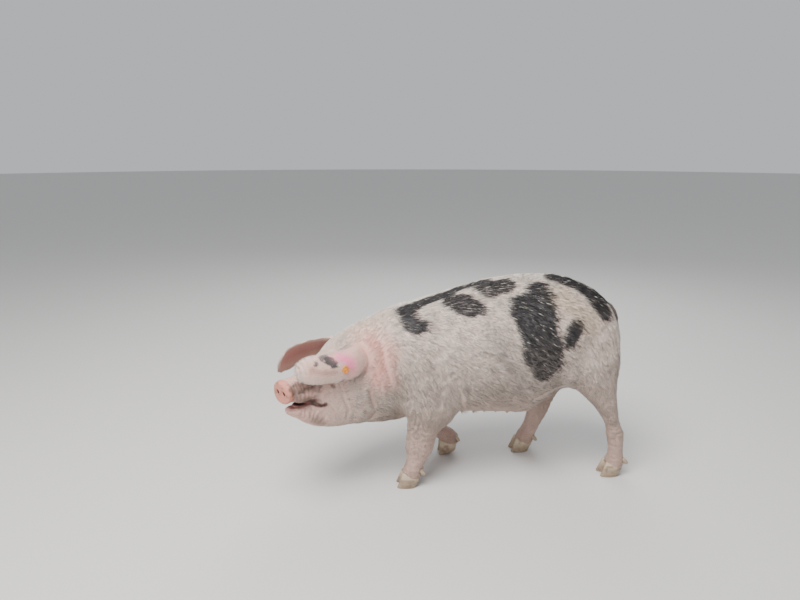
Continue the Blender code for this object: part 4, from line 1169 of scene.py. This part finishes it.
def coat_pieces(root, part):
    """Each piece: its name, its tufts, and the middle, axis and seam that its map is wrapped by."""
    x = root[:, 0]
    lateral = head_axes(root)[1]
    bounds = [-9.0, *np.quantile(x[part == TORSO], (0.25, 0.5, 0.75)), 9.0]
    down = (0, 0, -1)
    pieces = []
    for k in range(4):
        band = (part == TORSO) & (x >= bounds[k]) & (x < bounds[k + 1])
        for half, sided in (("left", root[:, 1] < SHIFT[1]), ("right", root[:, 1] >= SHIFT[1])):
            pieces.append((f"trunk_{k + 1}_{half}", band & sided, (0, SHIFT[1], 0.58), (1, 0, 0), down))
    pieces.append(("neck", part == NECK, (-0.33, 0.02, 0.49), -AHEAD, down))
    for half, sided in (("left", lateral > 0), ("right", lateral <= 0)):
        chosen = np.isin(part, (HEAD, SNOUT)) & sided
        pieces.append((f"head_{half}", chosen, head_point(0.12, 0, 0.46), AHEAD, down))
    pieces.append(("tail", part == TAIL, (0.72, SHIFT[1], 0.60), (0, 0, 1), (-1, 0, 0)))
    for index, side in ((LEFT_EAR, LEFT), (RIGHT_EAR, RIGHT)):
        pieces.append((FLESH[index], part == index, head_point(0.17, -side * 0.11, 0.60), AHEAD, down))
    for name in LEGS:
        middle = np.array(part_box(name)).mean(axis=0)
        pieces.append((name, part == FLESH.index(name), middle, (0, 0, 1), (1, 0, 0)))
    return pieces


def coat():
    """Every tuft of the coat, in pieces by the part of the body."""
    total = TUFTS
    corners, share = sample_roots(total)
    root = at(P, corners, share)
    out = unit(at(N, corners, share))
    way = at(LIE, corners, share)
    part = PART[corners[:, 0]]
    inner = INNER_EAR[corners[:, 0]]
    deep = inner & (at(RIM, corners, share) < 0.6)
    length = at(HAIR, corners, share) * RANDOM.uniform(0.62, 1.15, total)
    stray = noise(root, 0.07, 61) * 0.13 + noise(root, 0.018, 62) * 0.07 + RANDOM.normal(0, 0.10, total)
    way = unit(way + np.cross(out, way) * stray[:, None])
    way = unit(way - out * np.sum(way * out, axis=1)[:, None])
    width = (TUFT_WIDTH * np.sqrt(length / 0.030)) * RANDOM.uniform(0.7, 1.35, total)
    lift = length * RANDOM.uniform(0.01, 0.085, total)
    sway = length * RANDOM.normal(0, 0.09, total)
    colour = tuft_colours(root, way, part, inner, deep)
    material = coat_material()
    for name, chosen, middle, along, start_way in coat_pieces(root, part):
        if not chosen.any():
            continue
        uv = wrapped(root[chosen], middle, along, start_way)
        made = [v[chosen] for v in (root, out, way, length, width, lift, sway, colour)]
        piece = "coat_" + name
        finished(linked(piece, tuft_mesh(piece, *made, uv)), piece, (), material)
    return material


HAIR_MATERIAL = coat()


def strands(name, locks, material):
    """Longer locks, each (root, way, outward, length, width, colour)."""
    data = [np.array([lock[i] for lock in locks], float) for i in range(6)]
    root, way, out, length, width, colour = data
    out = unit(out - way * np.sum(out * way, axis=1)[:, None])
    lift = -0.10 * length
    sway = length * RANDOM.normal(0, 0.08, len(root))
    uv = wrapped(root, root.mean(axis=0), (0, 0, 1), (1, 0, 0))
    mesh = tuft_mesh(name, root, out, unit(way), length, width, lift, sway, colour, uv)
    finished(linked(name, mesh), name, (), material)


# The bristles at the tail's end, and the lashes
tassel = []
for _ in range(260):
    turn, high = RANDOM.uniform(0, ROUND), RANDOM.uniform(0.455, 0.535)
    around = np.array((math.cos(turn), math.sin(turn), 0.0))
    core = np.array((0.7625, -0.004, high)) + SHIFT
    way = np.array((0, 0, -1.0)) + around * RANDOM.uniform(0.0, 0.16)
    tone = BLACK_HAIR * RANDOM.uniform(1, 4) if RANDOM.random() < 0.75 else WHITE_HAIR * 0.7
    reach = RANDOM.uniform(0.045, 0.095)
    tassel.append((core + around * 0.006, unit(way), around, min(reach, high - 0.405), 0.0024, tone))
strands("tail_tassel", tassel, HAIR_MATERIAL)

lashes = []
for side in (LEFT, RIGHT):
    centre, look, corner_line, over = EYES[side]
    for share in np.linspace(0.10, 0.90, 26):
        along, above = almond(share * math.pi, 0.0014)
        root = on_lid(side, along, above, EYE_RADIUS + 0.0030)
        lash_way = unit(look * 0.85 + over * 0.30 + corner_line * (45 * along))
        lashes.append((root, lash_way, over, RANDOM.uniform(0.006, 0.010), 0.0005, WHITE_HAIR * 0.75))
strands("lashes", lashes, HAIR_MATERIAL)


# Eyes
def eye_material():
    wet = {"Roughness": 0.06, "Coat Weight": 1.0, "Coat Roughness": 0.03}
    made, nodes, links, shader = new_material("eye_wet", **wet)
    streaks = grain(nodes, links, 900.0, 3.0)
    tinted(nodes, links, shader, streaks, 0.8, 1.3)
    return made


# The eye's colours from its white inwards: where each one starts, is full, and its share
IRIS = [
    ((0.030, 0.015, 0.010), 0.66, 0.71, 1.0),
    ((0.120, 0.062, 0.030), 0.73, 0.84, 0.8),
    ((0.006, 0.005, 0.006), 0.905, 0.925, 1.0),
]


def eyeball(side, name):
    """A ball with the bulge of the cornea before it."""
    centre, look, *_ = EYES[side]
    eye = ball(name, centre, (EYE_RADIUS * 0.985,) * 3, segments=64)
    points = positions(eye.data)
    outward = unit(points - centre)
    gaze = outward @ look
    place_points(eye.data, points + outward * (0.0009 * step(0.80, 0.98, gaze))[:, None])
    tone = np.tile((0.20, 0.12, 0.10), (len(points), 1))
    for shade, start, full, share in IRIS:
        tone = mixed(tone, shade, step(start, full, gaze) * share)
    write_colour(eye.data, "tint", tone)
    return eye


EYE_MATERIAL = eye_material()
for side, name in ((LEFT, "eye_left"), (RIGHT, "eye_right")):
    finished(eyeball(side, name + "_ball"), name + "_ball", (name,), EYE_MATERIAL)


# Claws
def horn_material():
    made, nodes, links, shader = new_material("hoof_horn", Roughness=0.42)
    bands = grain(nodes, links, 14.0, 3.0, (1.5, 1.5, 26.0))
    chips = grain(nodes, links, 260.0, 4.0)
    tinted(nodes, links, shader, bands, 0.60, 1.45)
    bumped(nodes, links, shader, [(bands, 0.0012, 0.5), (chips, 0.0005, 0.4)])
    return made


HORN = horn_material()

# The height of a claw's upper edge, how steeply that falls to the heel, and the middle of the toe's turn
CORONET, CORONET_RISE, TOE_AHEAD = 0.046, 0.32, 0.062

# Each foot: its place, its side, and how far it is tipped on its toe, in degrees
FEET = {
    "foreleg_left": (-0.180, -0.145, LEFT, 0),
    "foreleg_right": (0.044, 0.126, RIGHT, 17),
    "hindleg_left": (0.730, -0.130, LEFT, 0),
    "hindleg_right": (0.392, 0.125, RIGHT, 0),
}

# A claw's half length and half width at each height
CLAW_LEVELS = [
    (0.0004, 0.0385, 0.0160),
    (0.0022, 0.0408, 0.0183),
    (0.0080, 0.0420, 0.0198),
    (0.0200, 0.0412, 0.0203),
    (0.0330, 0.0398, 0.0204),
    (0.0430, 0.0386, 0.0202),
    (0.0500, 0.0372, 0.0190),
    (0.0560, 0.0335, 0.0160),
]


def claw(x, y, side, pitch):
    toe = Matrix.Translation((-TOE_AHEAD, 0, 0))
    turn = toe @ Matrix.Rotation(math.radians(-pitch), 4, "Y") @ toe.inverted()
    place = Matrix.Translation((x + SHIFT[0], y + SHIFT[1], -0.003 if pitch else 0)) @ turn
    loops = []
    for height, long, wide in smooth_rows(CLAW_LEVELS, 3):
        ahead = 0.020 * (1 - min(height, CORONET) / CORONET) - 0.002
        loop = []
        for k in range(40):
            angle = ROUND * k / 40
            forward, across = math.cos(angle), math.sin(angle)
            u = -ahead - forward * long
            v = side * 0.0214 + across * wide * (1 - 0.32 * max(0.0, forward) ** 2)
            v += side * 0.09 * max(0.0, -u - 0.02)
            z = height - CORONET_RISE * u * step(0.018, 0.050, height)
            grown = 1 + 0.008 * math.sin(height * 900 + 2 * forward)
            point = place @ Vector((u, side * 0.0214 + (v - side * 0.0214) * grown, z))
            point.z = max(point.z, 0.0004)
            loop.append(point)
        loops.append(loop)
    made = rings("claw", loops)
    points = positions(made.data)
    tone = np.tile((0.30, 0.225, 0.155), (len(points), 1))
    tone = mixed(tone, (0.50, 0.40, 0.29), step(0.020, 0.060, points[:, 2]))
    tone = mixed(tone, MUD_AND_SHADE_BROWN * 0.6, 0.6 * step(0.0, 0.6, noise(points, 0.012, 71)))
    write_colour(made.data, "tint", tone)
    return made


def dewclaw(name, side):
    """A blunt horn within the frame's own dewclaw, leaning to that side."""
    low, high = (np.array(c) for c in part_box(name))
    middle = (low[1] + high[1]) / 2
    root = np.array((low[0] + 0.010, middle - side * 0.002, high[2] - 0.009))
    tip = np.array((high[0] - 0.003, middle + side * 0.004, low[2] + 0.003))
    shares = np.array((-0.15, 0.15, 0.45, 0.70, 0.88, 0.97, 1.0))
    radii = (0.0092, 0.0104, 0.0100, 0.0086, 0.0062, 0.0036, 0.0010)
    made = tube("dewclaw", [root + (tip - root) * t for t in shares], radii, sides=20)
    write_colour(made.data, "tint", np.tile((0.36, 0.28, 0.20), (len(made.data.vertices), 1)))
    return made


for leg, (x, y, side, pitch) in FEET.items():
    for toe, which in ((-side, "inner"), (side, "outer")):
        name = f"{leg}_claw_{which}"
        finished(claw(x, y, toe, pitch), f"{leg}_hoof_{which}", (name,), HORN)
        name = f"{leg}_dewclaw_{which}"
        finished(dewclaw(name, toe), name + "_horn", (name,), HORN)


# The ear tag
def tag_material():
    made, nodes, links, shader = new_material("tag_plastic", Roughness=0.38)
    dirt = grain(nodes, links, 160.0, 4.0)
    ramp = nodes.new("ShaderNodeValToRGB")
    stops = ((0.30, (0.42, 0.13, 0.02, 1)), (0.62, (0.86, 0.33, 0.035, 1)))
    for stop, (position, colour) in zip(ramp.color_ramp.elements, stops):
        stop.position = position
        stop.color = colour
    links.new(dirt.outputs[0], ramp.inputs["Fac"])
    links.new(ramp.outputs["Color"], shader.inputs["Base Color"])
    scuffs = grain(nodes, links, 700.0, 3.0)
    bumped(nodes, links, shader, [(scuffs, 0.0003, 0.4)])
    return made


TAG = tag_material()
for name in ("ear_tag_button", "ear_tag_stud"):
    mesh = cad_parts[name].data
    mesh.materials.clear()
    mesh.materials.append(TAG)

# Floor, light and camera
floor_shape = bmesh.new()
bmesh.ops.create_circle(floor_shape, cap_ends=True, segments=64, radius=40)
floor = linked("floor", mesh_of(floor_shape, "floor"))
pale = new_material("pale_floor", Base_Color=(0.62, 0.61, 0.59, 1), Roughness=0.9)[0]
floor.data.materials.append(pale)

world = bpy.data.worlds.new("studio")
world.use_nodes = True
set_inputs(world.node_tree.nodes["Background"], {"Color": (0.93, 0.96, 1.0, 1), "Strength": 0.60})
bpy.context.scene.world = world


def area_light(name, place, target, size, power, colour=(1, 1, 1)):
    data = bpy.data.lights.new(name, "AREA")
    data.size = size
    data.energy = power
    data.color = colour
    lamp = linked(name, data)
    lamp.location = place
    lamp.rotation_euler = (Vector(target) - Vector(place)).to_track_quat("-Z", "Y").to_euler()


area_light("key", (-1.2, -1.6, 4.2), (0.0, 0.0, 0.5), 2.4, 300, (1.0, 0.98, 0.95))
area_light("fill", (-2.6, -3.2, 1.8), (-0.2, 0.0, 0.5), 2.4, 45)
area_light("rear", (0.8, 3.2, 3.2), (0.0, 0.0, 0.5), 2.4, 80, (0.97, 0.98, 1.0))

lens = bpy.data.cameras.new("camera")
lens.lens = 27.0
lens.sensor_width = 36.0
lens.clip_end = 200
camera = linked("camera", lens)
camera.location = (-0.462, -2.4264, 1.42)
camera.rotation_euler = (math.radians(90 - 14.2), 0, math.radians(-5))
bpy.context.scene.camera = camera
